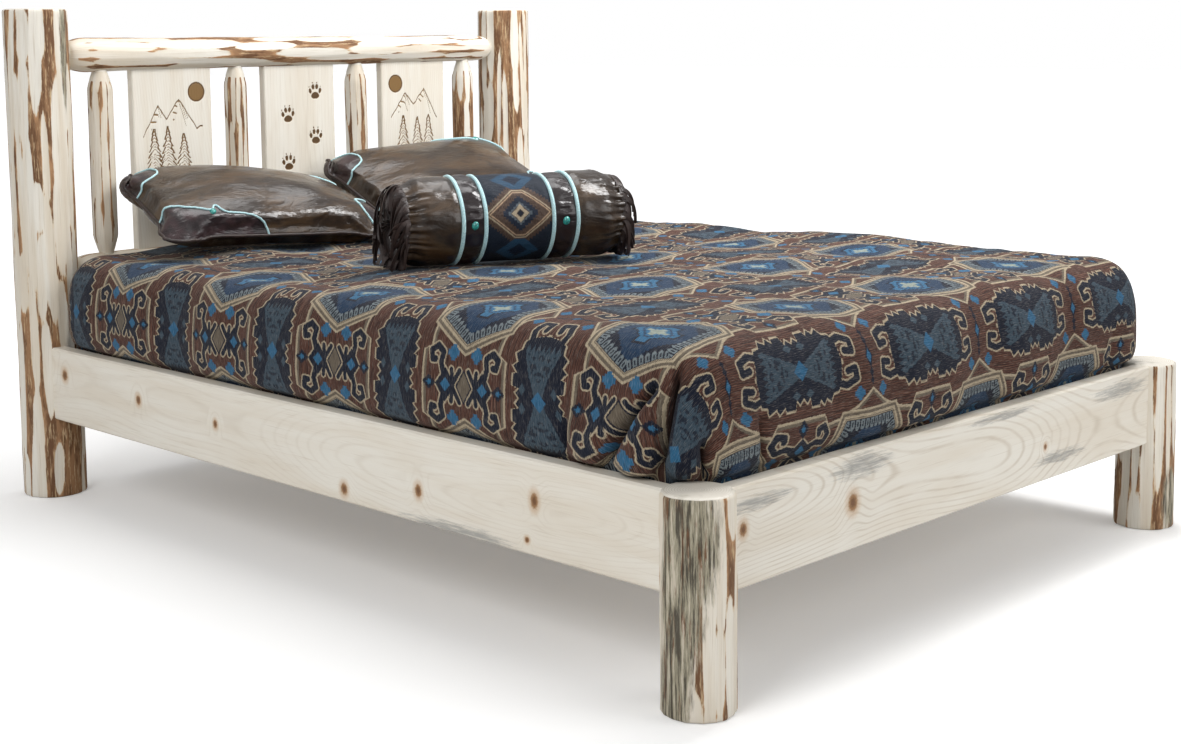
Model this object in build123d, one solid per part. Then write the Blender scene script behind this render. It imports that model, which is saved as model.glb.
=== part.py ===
from build123d import *
import math
import os

# Rustic log bed for a queen mattress, in millimetres, +Z up.
# X runs across the bed, -Y is the foot end and +Y the headboard. The origin is on the floor,
# under the middle of the bed's outer box.

# ------------------------------------------------------------------ driving sizes
# mattress, a little under its nominal 60 x 80 inches
MATTRESS_WIDTH = 1516
MATTRESS_LENGTH = 2020
MATTRESS_DEPTH = 290
MATTRESS_CORNER = 110
MATTRESS_EDGE = 24
MATTRESS_SIDE_GAP = 14
MATTRESS_FOOT_GAP = 26
MATTRESS_HEAD_GAP = 28

# peeled log posts
HEAD_POST_RADIUS = 76
HEAD_POST_HEIGHT = 1200
FOOT_POST_RADIUS = 65
FOOT_POST_HEIGHT = 378
POST_TOP_EASE = 7
POST_FOOT_EASE = 4

# sawn boards of the frame
RAIL_THICKNESS = 38
RAIL_DEPTH = 178
RAIL_TOP_HEIGHT = 376
RAIL_OUTSET = 32
RAIL_EDGE = 4
RAIL_HOUSING_DEPTH = 17
JOINT_CLEARANCE = 0.3

# headboard logs
TOP_LOG_HEIGHT = 1086
TOP_LOG_THICK_RADIUS = 43
TOP_LOG_THIN_RADIUS = 37.5
BOTTOM_LOG_HEIGHT = 545
BOTTOM_LOG_RADIUS = 44
LOG_TENON_RADIUS = 24
LOG_NOSE = 55
LOG_NOSE_CLEARANCE = 1.5

# headboard spindles and panels
SPINDLE_COUNT = 4
SPINDLE_POST_GAP = 62
SPINDLE_RADIUS = 31
SPINDLE_TENON_RADIUS = 13
SPINDLE_TENON_DEPTH = 34
SPINDLE_NOSE = 34
SPINDLE_SHOULDER_GAP = 1
PANEL_WIDTH = 236
PANEL_THICKNESS = 24
PANEL_GROOVE_DEPTH = 22
PANEL_EDGE = 2.5
PANEL_TOP_GAP = 1.5

# slats and what carries them
SLAT_COUNT = 13
SLAT_WIDTH = 89
SLAT_THICKNESS = 19
SLAT_EDGE = 3
SLAT_END_GAP = 4
SLAT_POST_GAP = 8
SLAT_TOP_HEIGHT = 300
LEDGER_SIZE = 38
LEDGER_POST_GAP = 5
BEAM_WIDTH = 38
BEAM_DEPTH = 64
BEAM_END_GAP = 1
CLEAT_LENGTH = 130
CLEAT_THICKNESS = 34
CLEAT_BASE = 18
CLEAT_CHEEK = 42
CENTRE_LEG_COUNT = 2
CENTRE_LEG_SPACING = 680
CENTRE_LEG_RADIUS = 32
GLIDE_RADIUS = 24
GLIDE_THICKNESS = 6
LEG_EASE = 2

# steel corner straps and their lag bolts
STRAP_THICKNESS = 4
STRAP_WIDTH = 36
STRAP_LEG = 52
STRAP_BASE_HEIGHT = 203
STRAP_POST_GAP = 0.4
LAG_SHANK_RADIUS = 4
LAG_POST_LENGTH = 46
LAG_RAIL_LENGTH = 30
LAG_HEAD_ACROSS_FLATS = 13
LAG_HEAD_HEIGHT = 5.3
LAG_HOLE_CLEARANCE = 0.15

# ledger screws
LEDGER_SCREW_COUNT = 5
LEDGER_SCREW_LENGTH = 62
LEDGER_SCREW_RADIUS = 2.6
LEDGER_SCREW_HEAD_RADIUS = 6
LEDGER_SCREW_HEAD_HEIGHT = 2.6
LEDGER_SCREW_MARGIN = 110

# bedding
SPREAD_TOP_THICKNESS = 20
SPREAD_SIDE_PUFF = 42
SPREAD_HEAD_PUFF = 11
SPREAD_TUCK_THICKNESS = 10
SPREAD_TUCK_DEPTH = 46
SPREAD_TOP_ROUND = 80
SPREAD_RAIL_ROUND = 18
SPREAD_CORNER = 120
SPREAD_RAIL_GAP = 4
SPREAD_MATTRESS_GAP = 0.5

SHAM_LENGTH = 640
SHAM_WIDTH = 400
SHAM_CROWN = 88
SHAM_BELLY = 44
SHAM_CORNER = 60
SHAM_FILL_SHARE = 0.965
SHAM_HEADBOARD_GAP = 6
SHAM_LEFT_X = -340
SHAM_LEFT_TILT_ANGLE = 19
SHAM_LEFT_BANK_ANGLE = 3
SHAM_LEFT_TURN_ANGLE = -10
SHAM_RIGHT_X = 338
SHAM_RIGHT_TILT_ANGLE = 25
SHAM_RIGHT_BANK_ANGLE = -3
SHAM_RIGHT_TURN_ANGLE = 0

BOLSTER_LENGTH = 525
BOLSTER_RADIUS = 102
BOLSTER_GATHER = 60
BOLSTER_GATHER_RADIUS = 86
BOLSTER_END_ROUND = 14
BOLSTER_FILL_SHARE = 0.97
BOLSTER_X = -190
BOLSTER_Y = 20
BOLSTER_TURN_ANGLE = -21
SOFT_CLEARANCE = 0.4

# ------------------------------------------------------------------ sizes that follow
RAIL_GAP = MATTRESS_WIDTH + 2 * MATTRESS_SIDE_GAP
RAIL_INNER_OFFSET = RAIL_THICKNESS - RAIL_OUTSET
POST_X = RAIL_GAP / 2 + RAIL_INNER_OFFSET
INNER_LENGTH = MATTRESS_LENGTH + MATTRESS_FOOT_GAP + MATTRESS_HEAD_GAP
POST_SPAN = INNER_LENGTH + BOTTOM_LOG_RADIUS + RAIL_INNER_OFFSET
HEAD_Y = POST_SPAN / 2 - (HEAD_POST_RADIUS - FOOT_POST_RADIUS) / 2
FOOT_Y = HEAD_Y - POST_SPAN
RAIL_BASE = RAIL_TOP_HEIGHT - RAIL_DEPTH
HEAD_SEAT = HEAD_POST_RADIUS - RAIL_HOUSING_DEPTH
FOOT_SEAT = FOOT_POST_RADIUS - RAIL_HOUSING_DEPTH
SLAT_BASE = SLAT_TOP_HEIGHT - SLAT_THICKNESS
LEDGER_BASE = SLAT_BASE - LEDGER_SIZE
BEAM_BASE = SLAT_BASE - BEAM_DEPTH
MATTRESS_BASE = SLAT_TOP_HEIGHT
MATTRESS_TOP = MATTRESS_BASE + MATTRESS_DEPTH
MATTRESS_FOOT_Y = FOOT_Y + RAIL_INNER_OFFSET + MATTRESS_FOOT_GAP
MATTRESS_Y = MATTRESS_FOOT_Y + MATTRESS_LENGTH / 2
SPREAD_TOP = MATTRESS_TOP + SPREAD_TOP_THICKNESS

parts = {}


def rounded_block(width, length, height, corner):
    """An upright block with rounded vertical corners, standing on z = 0 about the origin."""
    return extrude(RectangleRounded(width, length, corner), height)


def turned(points):
    """A solid of revolution about Z from a half profile of (radius, height) points."""
    outline = Polyline(*[(r, 0, z) for r, z in points], close=True)
    return revolve(make_face(outline), Axis.Z)


def post(radius, height):
    """A peeled log post with sawn ends and worn rims."""
    return turned([
        (0, 0),
        (radius - POST_FOOT_EASE, 0),
        (radius, POST_FOOT_EASE),
        (radius, height - POST_TOP_EASE),
        (radius - POST_TOP_EASE * 0.35, height - POST_TOP_EASE * 0.35),
        (radius - POST_TOP_EASE, height),
        (0, height),
    ])


def tenoned_log(length, tenon_radius, start_tenon, end_tenon, start_radius, end_radius, nose):
    """A peeled log standing on z = 0, tapered from start to end, its shoulders drawn down
    in a rounded nose to a round tenon at each end."""
    low = start_tenon
    high = length - end_tenon
    profile = Polyline(
        (tenon_radius, 0, low),
        (tenon_radius, 0, 0),
        (0, 0, 0),
        (0, 0, length),
        (tenon_radius, 0, length),
        (tenon_radius, 0, high),
    )
    profile += Bezier(
        (tenon_radius, 0, high),
        (end_radius * 0.92, 0, high - nose * 0.08),
        (end_radius, 0, high - nose * 0.45),
        (end_radius, 0, high - nose),
    )
    profile += Line((end_radius, 0, high - nose), (start_radius, 0, low + nose))
    profile += Bezier(
        (start_radius, 0, low + nose),
        (start_radius, 0, low + nose * 0.45),
        (start_radius * 0.92, 0, low + nose * 0.08),
        (tenon_radius, 0, low),
    )
    return revolve(make_face(profile), Axis.Z)


def bore(radius, depth):
    """A cutter for a blind round hole that opens at z = 0 and runs down to -depth."""
    return Pos(0, 0, -depth / 2) * Cylinder(radius, depth)


def board(width, length, height, edge):
    """A sawn board standing on z = 0 about the origin, its long edges eased. It runs along Y."""
    block = extrude(Rectangle(width, length), height)
    return chamfer(block.edges().filter_by(Axis.Y), edge)


def hex_lag(length, head_height=LAG_HEAD_HEIGHT):
    """A lag bolt: its shank runs down from z = 0 to a point, its hex head stands on z = 0."""
    head = extrude(RegularPolygon(LAG_HEAD_ACROSS_FLATS / 2, 6, major_radius=False), head_height)
    tip = LAG_SHANK_RADIUS * 1.6
    shank = turned([
        (0, -length),
        (LAG_SHANK_RADIUS, -length + tip),
        (LAG_SHANK_RADIUS, 0),
        (0, 0),
    ])
    return head + shank


# ------------------------------------------------------------------ corner layout
# Each corner is (name, post x, post y, post radius, seat, side of X, inward direction along Y).
CORNERS = [
    ("head_left", -POST_X, HEAD_Y, HEAD_POST_RADIUS, HEAD_SEAT, -1, -1),
    ("head_right", POST_X, HEAD_Y, HEAD_POST_RADIUS, HEAD_SEAT, 1, -1),
    ("foot_left", -POST_X, FOOT_Y, FOOT_POST_RADIUS, FOOT_SEAT, -1, 1),
    ("foot_right", POST_X, FOOT_Y, FOOT_POST_RADIUS, FOOT_SEAT, 1, 1),
]


def strap_outline(radius):
    """The corner strap's section, in (inward x, inward y) from the post's centre: a leg on
    each rail's inner face and a bridge across the bulge of the post."""
    reach = (radius + STRAP_POST_GAP) * math.sqrt(2) - RAIL_INNER_OFFSET
    outer = RAIL_INNER_OFFSET + STRAP_THICKNESS
    bend = (radius + STRAP_POST_GAP + STRAP_THICKNESS) * math.sqrt(2) - outer
    far = reach + STRAP_LEG
    return [
        (RAIL_INNER_OFFSET, far),
        (RAIL_INNER_OFFSET, reach),
        (reach, RAIL_INNER_OFFSET),
        (far, RAIL_INNER_OFFSET),
        (far, outer),
        (bend, outer),
        (outer, bend),
        (outer, far),
    ]


def lag_places(corner):
    """The corner's three lag bolts as (plane whose +Z leaves the head, shank length)."""
    name, px, py, radius, seat, side, inward = corner
    height = STRAP_BASE_HEIGHT + STRAP_WIDTH / 2
    reach = (radius + STRAP_POST_GAP) * math.sqrt(2) - RAIL_INNER_OFFSET
    along = reach + STRAP_LEG * 0.55
    face = RAIL_INNER_OFFSET + STRAP_THICKNESS
    bridge = (radius + STRAP_POST_GAP + STRAP_THICKNESS) / math.sqrt(2)
    spots = [
        ((bridge, bridge), (1, 1), LAG_POST_LENGTH),
        ((face, along), (1, 0), LAG_RAIL_LENGTH),
        ((along, face), (0, 1), LAG_RAIL_LENGTH),
    ]
    places = []
    for (u, v), (du, dv), length in spots:
        origin = (px - side * u, py + inward * v, height)
        plane = Plane(origin=origin, x_dir=(0, 0, 1), z_dir=(-side * du, inward * dv, 0))
        places.append((plane, length))
    return places


def lag_holes(corner):
    """Cutters for the corner's lag bolts, through the strap and into the wood."""
    cutters = []
    for plane, length in lag_places(corner):
        radius = LAG_SHANK_RADIUS + LAG_HOLE_CLEARANCE
        cutters.append(plane.location * bore(radius, length + LAG_HOLE_CLEARANCE))
    return cutters


def rail_housing(corner, along_y):
    """The housing in a post for the end of a side rail (along Y) or of a cross rail (along X)."""
    name, px, py, radius, seat, side, inward = corner
    width = RAIL_THICKNESS + 2 * JOINT_CLEARANCE
    middle = RAIL_OUTSET - RAIL_THICKNESS / 2
    reach = radius + RAIL_THICKNESS - seat
    if inward < 0:
        # a blind housing in the tall head post
        height = RAIL_DEPTH + 2 * JOINT_CLEARANCE
    else:
        # open at the top of the short foot post
        height = RAIL_DEPTH + POST_TOP_EASE + JOINT_CLEARANCE
    base = RAIL_BASE - JOINT_CLEARANCE
    if along_y:
        cutter = Box(width, reach, height)
        place = Pos(px + side * middle, py + inward * (seat + reach / 2), base + height / 2)
    else:
        cutter = Box(reach, width, height)
        place = Pos(px - side * (seat + reach / 2), py - inward * middle, base + height / 2)
    return place * cutter


# ------------------------------------------------------------------ posts
def make_post(corner):
    name, px, py, radius, seat, side, inward = corner
    at_head = inward < 0
    height = HEAD_POST_HEIGHT if at_head else FOOT_POST_HEIGHT
    solid = Pos(px, py, 0) * post(radius, height)
    solid -= rail_housing(corner, True)
    solid -= rail_housing(corner, False)
    for cutter in lag_holes(corner):
        solid -= cutter
    if at_head:
        for level in (TOP_LOG_HEIGHT, BOTTOM_LOG_HEIGHT):
            mouth = Plane(origin=(px - side * radius, py, level), z_dir=(-side, 0, 0))
            solid -= mouth.location * bore(LOG_TENON_RADIUS + JOINT_CLEARANCE, radius)
    return solid


for corner in CORNERS:
    end, hand = corner[0].split("_")
    parts[f"{end}_post_{hand}"] = make_post(corner)

# ------------------------------------------------------------------ headboard logs
LOG_LENGTH = 2 * POST_X
LOG_SHOULDER = HEAD_POST_RADIUS + LOG_NOSE_CLEARANCE
OUTER_SPINDLE_X = POST_X - HEAD_POST_RADIUS - SPINDLE_POST_GAP - SPINDLE_RADIUS
SPINDLE_SPACING = 2 * OUTER_SPINDLE_X / (SPINDLE_COUNT - 1)
SPINDLE_XS = [i * SPINDLE_SPACING - OUTER_SPINDLE_X for i in range(SPINDLE_COUNT)]
PANEL_XS = [(a + b) / 2 for a, b in zip(SPINDLE_XS, SPINDLE_XS[1:])]


def top_log_radius(x):
    """The top log's radius at x, on its taper between the two noses."""
    body = LOG_LENGTH - 2 * (LOG_SHOULDER + LOG_NOSE)
    share = (x + body / 2) / body
    return TOP_LOG_THICK_RADIUS + share * (TOP_LOG_THIN_RADIUS - TOP_LOG_THICK_RADIUS)


# grooves stop at one level each, so that all three panels are alike
PANEL_BASE = BOTTOM_LOG_HEIGHT + BOTTOM_LOG_RADIUS - PANEL_GROOVE_DEPTH
PANEL_SOCKET_TOP = TOP_LOG_HEIGHT - TOP_LOG_THICK_RADIUS + PANEL_GROOVE_DEPTH
PANEL_HEIGHT = PANEL_SOCKET_TOP - PANEL_TOP_GAP - PANEL_BASE
SPINDLE_BASE = BOTTOM_LOG_HEIGHT + BOTTOM_LOG_RADIUS - SPINDLE_TENON_DEPTH
SPINDLE_TOP = TOP_LOG_HEIGHT - TOP_LOG_THICK_RADIUS + SPINDLE_TENON_DEPTH
SPINDLE_LENGTH = SPINDLE_TOP - SPINDLE_BASE


def headboard_log(height, left_radius, right_radius):
    """A headboard log across the bed at that height, tenoned into both head posts."""
    log = tenoned_log(
        LOG_LENGTH, LOG_TENON_RADIUS, LOG_SHOULDER, LOG_SHOULDER, left_radius, right_radius, LOG_NOSE
    )
    start = Plane(origin=(-LOG_LENGTH / 2, HEAD_Y, height), z_dir=(1, 0, 0))
    return start.location * log


top_log = headboard_log(TOP_LOG_HEIGHT, TOP_LOG_THICK_RADIUS, TOP_LOG_THIN_RADIUS)
bottom_log = headboard_log(BOTTOM_LOG_HEIGHT, BOTTOM_LOG_RADIUS, BOTTOM_LOG_RADIUS)

for x in PANEL_XS:
    width = PANEL_WIDTH + 2 * JOINT_CLEARANCE
    thickness = PANEL_THICKNESS + 2 * JOINT_CLEARANCE
    drop = 2 * TOP_LOG_THICK_RADIUS
    top_log -= Pos(x, HEAD_Y, PANEL_SOCKET_TOP - drop / 2) * Box(width, thickness, drop)
    bottom_log -= Pos(x, HEAD_Y, PANEL_BASE + drop / 2) * Box(width, thickness, drop)

for x in SPINDLE_XS:
    socket = bore(SPINDLE_TENON_RADIUS + JOINT_CLEARANCE, SPINDLE_LENGTH)
    bottom_log -= Pos(x, HEAD_Y, SPINDLE_BASE + SPINDLE_LENGTH) * socket
    top_log -= Pos(x, HEAD_Y, SPINDLE_TOP) * socket

parts["headboard_top_rail"] = top_log
parts["headboard_bottom_rail"] = bottom_log

for number, x in enumerate(SPINDLE_XS, 1):
    # the shoulder stops short of the log's underside, which is higher where the log is thinner
    top_tenon = SPINDLE_TOP - (TOP_LOG_HEIGHT - top_log_radius(x)) + SPINDLE_SHOULDER_GAP
    bottom_tenon = SPINDLE_TENON_DEPTH + SPINDLE_SHOULDER_GAP
    spindle = tenoned_log(
        SPINDLE_LENGTH, SPINDLE_TENON_RADIUS, bottom_tenon, top_tenon,
        SPINDLE_RADIUS, SPINDLE_RADIUS, SPINDLE_NOSE,
    )
    parts[f"headboard_spindle_{number}"] = Pos(x, HEAD_Y, SPINDLE_BASE) * spindle

for name, x in zip(("left", "centre", "right"), PANEL_XS):
    panel = extrude(Rectangle(PANEL_WIDTH, PANEL_THICKNESS), PANEL_HEIGHT)
    panel = chamfer(panel.edges().filter_by(Axis.Z), PANEL_EDGE)
    parts[f"headboard_panel_{name}"] = Pos(x, HEAD_Y, PANEL_BASE) * panel

# ------------------------------------------------------------------ rails
SIDE_RAIL_LENGTH = POST_SPAN - HEAD_SEAT - FOOT_SEAT
SIDE_RAIL_Y = (HEAD_Y - HEAD_SEAT + FOOT_Y + FOOT_SEAT) / 2
RAIL_MIDDLE = RAIL_OUTSET - RAIL_THICKNESS / 2


def drilled(solid):
    """The solid with the holes of every corner's lag bolts."""
    for corner in CORNERS:
        for cutter in lag_holes(corner):
            solid -= cutter
    return solid


LEDGER_FOOT_Y = FOOT_Y + FOOT_POST_RADIUS + LEDGER_POST_GAP
LEDGER_HEAD_Y = HEAD_Y - HEAD_POST_RADIUS - LEDGER_POST_GAP
LEDGER_LENGTH = LEDGER_HEAD_Y - LEDGER_FOOT_Y
LEDGER_Y = (LEDGER_HEAD_Y + LEDGER_FOOT_Y) / 2
SCREW_YS = [
    LEDGER_FOOT_Y + LEDGER_SCREW_MARGIN
    + i * (LEDGER_LENGTH - 2 * LEDGER_SCREW_MARGIN) / (LEDGER_SCREW_COUNT - 1)
    for i in range(LEDGER_SCREW_COUNT)
]
screws = []
for hand, side in (("left", -1), ("right", 1)):
    rail = board(RAIL_THICKNESS, SIDE_RAIL_LENGTH, RAIL_DEPTH, RAIL_EDGE)
    rail = drilled(Pos(side * (POST_X + RAIL_MIDDLE), SIDE_RAIL_Y, RAIL_BASE) * rail)
    ledger = board(LEDGER_SIZE, LEDGER_LENGTH, LEDGER_SIZE, RAIL_EDGE / 2)
    ledger = Pos(side * (RAIL_GAP - LEDGER_SIZE) / 2, LEDGER_Y, LEDGER_BASE) * ledger
    for y in SCREW_YS:
        spot = (side * (RAIL_GAP / 2 - LEDGER_SIZE), y, LEDGER_BASE + LEDGER_SIZE / 2)
        plane = Plane(origin=spot, z_dir=(-side, 0, 0))
        cutter = plane.location * bore(
            LEDGER_SCREW_RADIUS + LAG_HOLE_CLEARANCE, LEDGER_SCREW_LENGTH + LAG_HOLE_CLEARANCE
        )
        ledger -= cutter
        rail -= cutter
        screws.append(plane.location * turned([
            (0, -LEDGER_SCREW_LENGTH),
            (LEDGER_SCREW_RADIUS, -LEDGER_SCREW_LENGTH + 2 * LEDGER_SCREW_RADIUS),
            (LEDGER_SCREW_RADIUS, 0),
            (LEDGER_SCREW_HEAD_RADIUS, 0),
            (LEDGER_SCREW_HEAD_RADIUS * 0.6, LEDGER_SCREW_HEAD_HEIGHT),
            (0, LEDGER_SCREW_HEAD_HEIGHT),
        ]))
    parts[f"side_rail_{hand}"] = rail
    parts[f"slat_ledger_{hand}"] = ledger

for name, y, outward, seat in (
    ("foot_rail", FOOT_Y, -1, FOOT_SEAT),
    ("head_cross_rail", HEAD_Y, 1, HEAD_SEAT),
):
    length = 2 * (POST_X - seat)
    rail = Rot(0, 0, 90) * board(RAIL_THICKNESS, length, RAIL_DEPTH, RAIL_EDGE)
    parts[name] = drilled(Pos(0, y + outward * RAIL_MIDDLE, RAIL_BASE) * rail)

# ------------------------------------------------------------------ corner straps and fasteners
straps = []
lags = []
for corner in CORNERS:
    name, px, py, radius, seat, side, inward = corner
    outline = [(px - side * u, py + inward * v) for u, v in strap_outline(radius)]
    face = make_face(Polyline(*outline, close=True))
    strap = Pos(0, 0, STRAP_BASE_HEIGHT) * extrude(face, STRAP_WIDTH, dir=(0, 0, 1))
    for cutter in lag_holes(corner):
        strap -= cutter
    straps.append(strap)
    lags += [plane.location * hex_lag(length) for plane, length in lag_places(corner)]

# ------------------------------------------------------------------ slats, centre beam and legs
first_slat = FOOT_Y + FOOT_POST_RADIUS + SLAT_POST_GAP + SLAT_WIDTH / 2
last_slat = HEAD_Y - HEAD_POST_RADIUS - SLAT_POST_GAP - SLAT_WIDTH / 2
slat_pitch = (last_slat - first_slat) / (SLAT_COUNT - 1)
slat_length = RAIL_GAP - 2 * SLAT_END_GAP
for i in range(SLAT_COUNT):
    slat = Rot(0, 0, 90) * board(SLAT_WIDTH, slat_length, SLAT_THICKNESS, SLAT_EDGE)
    parts[f"slat_{i + 1:02d}"] = Pos(0, first_slat + i * slat_pitch, SLAT_BASE) * slat

cross_rail_faces = (FOOT_Y + RAIL_INNER_OFFSET, HEAD_Y - RAIL_INNER_OFFSET)
beam_length = cross_rail_faces[1] - cross_rail_faces[0] - 2 * BEAM_END_GAP
beam_y = sum(cross_rail_faces) / 2
parts["centre_beam"] = Pos(0, beam_y, BEAM_BASE) * board(
    BEAM_WIDTH, beam_length, BEAM_DEPTH, RAIL_EDGE / 2
)

for name, face_y, inward in (("foot", cross_rail_faces[0], 1), ("head", cross_rail_faces[1], -1)):
    height = CLEAT_BASE + CLEAT_CHEEK
    block = extrude(Rectangle(CLEAT_LENGTH, CLEAT_THICKNESS), height)
    notch_width = BEAM_WIDTH + 2 * JOINT_CLEARANCE
    notch = Box(notch_width, 2 * CLEAT_THICKNESS, 2 * CLEAT_CHEEK)
    notch = Pos(0, 0, CLEAT_BASE + CLEAT_CHEEK) * notch
    place = Pos(0, face_y + inward * CLEAT_THICKNESS / 2, BEAM_BASE - CLEAT_BASE)
    parts[f"beam_cleat_{name}"] = place * (block - notch)

glides = []
for i in range(CENTRE_LEG_COUNT):
    y = beam_y + (i - (CENTRE_LEG_COUNT - 1) / 2) * CENTRE_LEG_SPACING
    leg = turned([
        (0, GLIDE_THICKNESS),
        (CENTRE_LEG_RADIUS - LEG_EASE, GLIDE_THICKNESS),
        (CENTRE_LEG_RADIUS, GLIDE_THICKNESS + LEG_EASE),
        (CENTRE_LEG_RADIUS, BEAM_BASE),
        (0, BEAM_BASE),
    ])
    parts[f"centre_leg_{i + 1}"] = Pos(0, y, 0) * leg
    glides.append(Pos(0, y, 0) * turned([
        (0, 0),
        (GLIDE_RADIUS - LEG_EASE, 0),
        (GLIDE_RADIUS, LEG_EASE),
        (GLIDE_RADIUS, GLIDE_THICKNESS),
        (0, GLIDE_THICKNESS),
    ]))

parts["corner_straps"] = Compound(children=straps)
parts["corner_lag_bolts"] = Compound(children=lags)
parts["ledger_screws"] = Compound(children=screws)
parts["leg_glides"] = Compound(children=glides)

# ------------------------------------------------------------------ mattress and bedspread
mattress = rounded_block(MATTRESS_WIDTH, MATTRESS_LENGTH, MATTRESS_DEPTH, MATTRESS_CORNER)
mattress = fillet(
    mattress.edges().group_by(Axis.Z)[0] + mattress.edges().group_by(Axis.Z)[-1], MATTRESS_EDGE
)
parts["mattress"] = Pos(0, MATTRESS_Y, MATTRESS_BASE) * mattress


def spread_block(side_puff, foot_puff, head_puff, corner, low, high):
    """A rounded block round the mattress, standing out by a puff on the sides, foot and head."""
    length = MATTRESS_LENGTH + foot_puff + head_puff
    y = MATTRESS_Y + (head_puff - foot_puff) / 2
    block = rounded_block(MATTRESS_WIDTH + 2 * side_puff, length, high - low, corner)
    return Pos(0, y, low) * block


puff_base = RAIL_TOP_HEIGHT + SPREAD_RAIL_GAP
puff = spread_block(
    SPREAD_SIDE_PUFF, SPREAD_SIDE_PUFF, SPREAD_HEAD_PUFF, SPREAD_CORNER, puff_base, SPREAD_TOP
)
puff = fillet(puff.edges().group_by(Axis.Z)[-1], SPREAD_TOP_ROUND)
puff = fillet(puff.edges().group_by(Axis.Z)[0], SPREAD_RAIL_ROUND)
tuck_base = RAIL_TOP_HEIGHT - SPREAD_TUCK_DEPTH
tuck = spread_block(
    SPREAD_TUCK_THICKNESS, SPREAD_TUCK_THICKNESS, SPREAD_TUCK_THICKNESS,
    MATTRESS_CORNER + SPREAD_TUCK_THICKNESS, tuck_base, puff_base + SPREAD_RAIL_ROUND,
)
hollow = spread_block(
    SPREAD_MATTRESS_GAP, SPREAD_MATTRESS_GAP, SPREAD_MATTRESS_GAP,
    MATTRESS_CORNER + SPREAD_MATTRESS_GAP, MATTRESS_BASE, MATTRESS_TOP,
)
hollow = fillet(hollow.edges().group_by(Axis.Z)[-1], MATTRESS_EDGE)
parts["bedspread"] = puff + tuck - hollow


# ------------------------------------------------------------------ shams and bolster
# a cushion's outline shrinks towards its crown: (share of the rise, share of the outline)
CROWN_LEVELS = [(0.36, 0.93), (0.78, 0.72), (1, 0.42)]


def pillow():
    """A sham about the origin, its seam's outline in the XY plane, lofted to a full crown
    above and a flatter belly below."""
    levels = [(-SHAM_BELLY * rise, share) for rise, share in reversed(CROWN_LEVELS)]
    levels += [(0, 1)]
    levels += [(SHAM_CROWN * rise, share) for rise, share in CROWN_LEVELS]
    sections = [
        Pos(0, 0, z) * RectangleRounded(SHAM_LENGTH * share, SHAM_WIDTH * share, SHAM_CORNER * share)
        for z, share in levels
    ]
    return loft(sections, ruled=True)


for hand, x, tilt, bank, turn in (
    ("left", SHAM_LEFT_X, SHAM_LEFT_TILT_ANGLE, SHAM_LEFT_BANK_ANGLE, SHAM_LEFT_TURN_ANGLE),
    ("right", SHAM_RIGHT_X, SHAM_RIGHT_TILT_ANGLE, SHAM_RIGHT_BANK_ANGLE, SHAM_RIGHT_TURN_ANGLE),
):
    # it leans back towards the headboard, its lowest point just over the bedspread
    leaning = Rot(0, 0, turn) * Rot(tilt, 0, 0) * Rot(0, bank, 0)
    box = (leaning * pillow()).bounding_box()
    back = HEAD_Y - BOTTOM_LOG_RADIUS - SHAM_HEADBOARD_GAP
    place = Pos(x, back - box.max.Y, SPREAD_TOP + SOFT_CLEARANCE - box.min.Z) * leaning
    fill = scale(pillow(), by=SHAM_FILL_SHARE)
    parts[f"sham_{hand}_cover"] = place * (pillow() - fill)
    parts[f"sham_{hand}_fill"] = place * fill


def neck_roll():
    """The bolster about the origin along Z: a padded tube, gathered in at both ends."""
    tube = BOLSTER_LENGTH / 2
    end = tube + BOLSTER_GATHER
    half = [(BOLSTER_RADIUS, tube), (BOLSTER_GATHER_RADIUS, end), (0, end)]
    outline = [(r, -z) for r, z in reversed(half)] + half
    roll = turned(outline)
    rims = roll.edges().filter_by(GeomType.CIRCLE).filter_by(lambda e: e.radius > 1)
    return fillet(rims, BOLSTER_END_ROUND)


bolster_height = SPREAD_TOP + SOFT_CLEARANCE + BOLSTER_RADIUS
bolster_place = Pos(BOLSTER_X, BOLSTER_Y, bolster_height) * Rot(0, 0, BOLSTER_TURN_ANGLE) * Rot(0, 90, 0)
bolster_fill = scale(neck_roll(), by=BOLSTER_FILL_SHARE)
parts["bolster_cover"] = bolster_place * (neck_roll() - bolster_fill)
parts["bolster_fill"] = bolster_place * bolster_fill

# ------------------------------------------------------------------ write one STEP per piece
os.makedirs("parts", exist_ok=True)
for name, shape in parts.items():
    shape.label = name
    export_step(shape, f"parts/{name}.step")
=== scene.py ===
import math

import bpy
import numpy as np
from mathutils import Matrix, Vector


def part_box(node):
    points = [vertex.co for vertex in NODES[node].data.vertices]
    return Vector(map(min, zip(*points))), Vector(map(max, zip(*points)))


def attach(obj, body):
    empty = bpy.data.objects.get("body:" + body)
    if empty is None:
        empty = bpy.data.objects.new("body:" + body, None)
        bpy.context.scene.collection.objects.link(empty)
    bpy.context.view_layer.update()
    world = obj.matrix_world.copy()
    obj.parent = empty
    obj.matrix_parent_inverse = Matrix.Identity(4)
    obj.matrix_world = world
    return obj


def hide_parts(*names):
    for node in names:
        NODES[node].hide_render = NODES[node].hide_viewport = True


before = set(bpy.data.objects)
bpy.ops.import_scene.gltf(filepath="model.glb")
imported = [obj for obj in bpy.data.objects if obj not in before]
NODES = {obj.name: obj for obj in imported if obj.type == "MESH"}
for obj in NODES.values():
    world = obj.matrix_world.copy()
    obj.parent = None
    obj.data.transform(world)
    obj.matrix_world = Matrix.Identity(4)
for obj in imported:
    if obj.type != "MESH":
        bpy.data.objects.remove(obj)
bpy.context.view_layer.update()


def span(node):
    """A CAD node's box as (low corner, high corner, middle), as arrays in metres."""
    low, high = (np.array(corner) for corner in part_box(node))
    return low, high, (low + high) / 2


RAIL_TOP = span("side_rail_left")[1][2]
SPREAD_LOW, SPREAD_HIGH, _ = span("bedspread")


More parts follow.
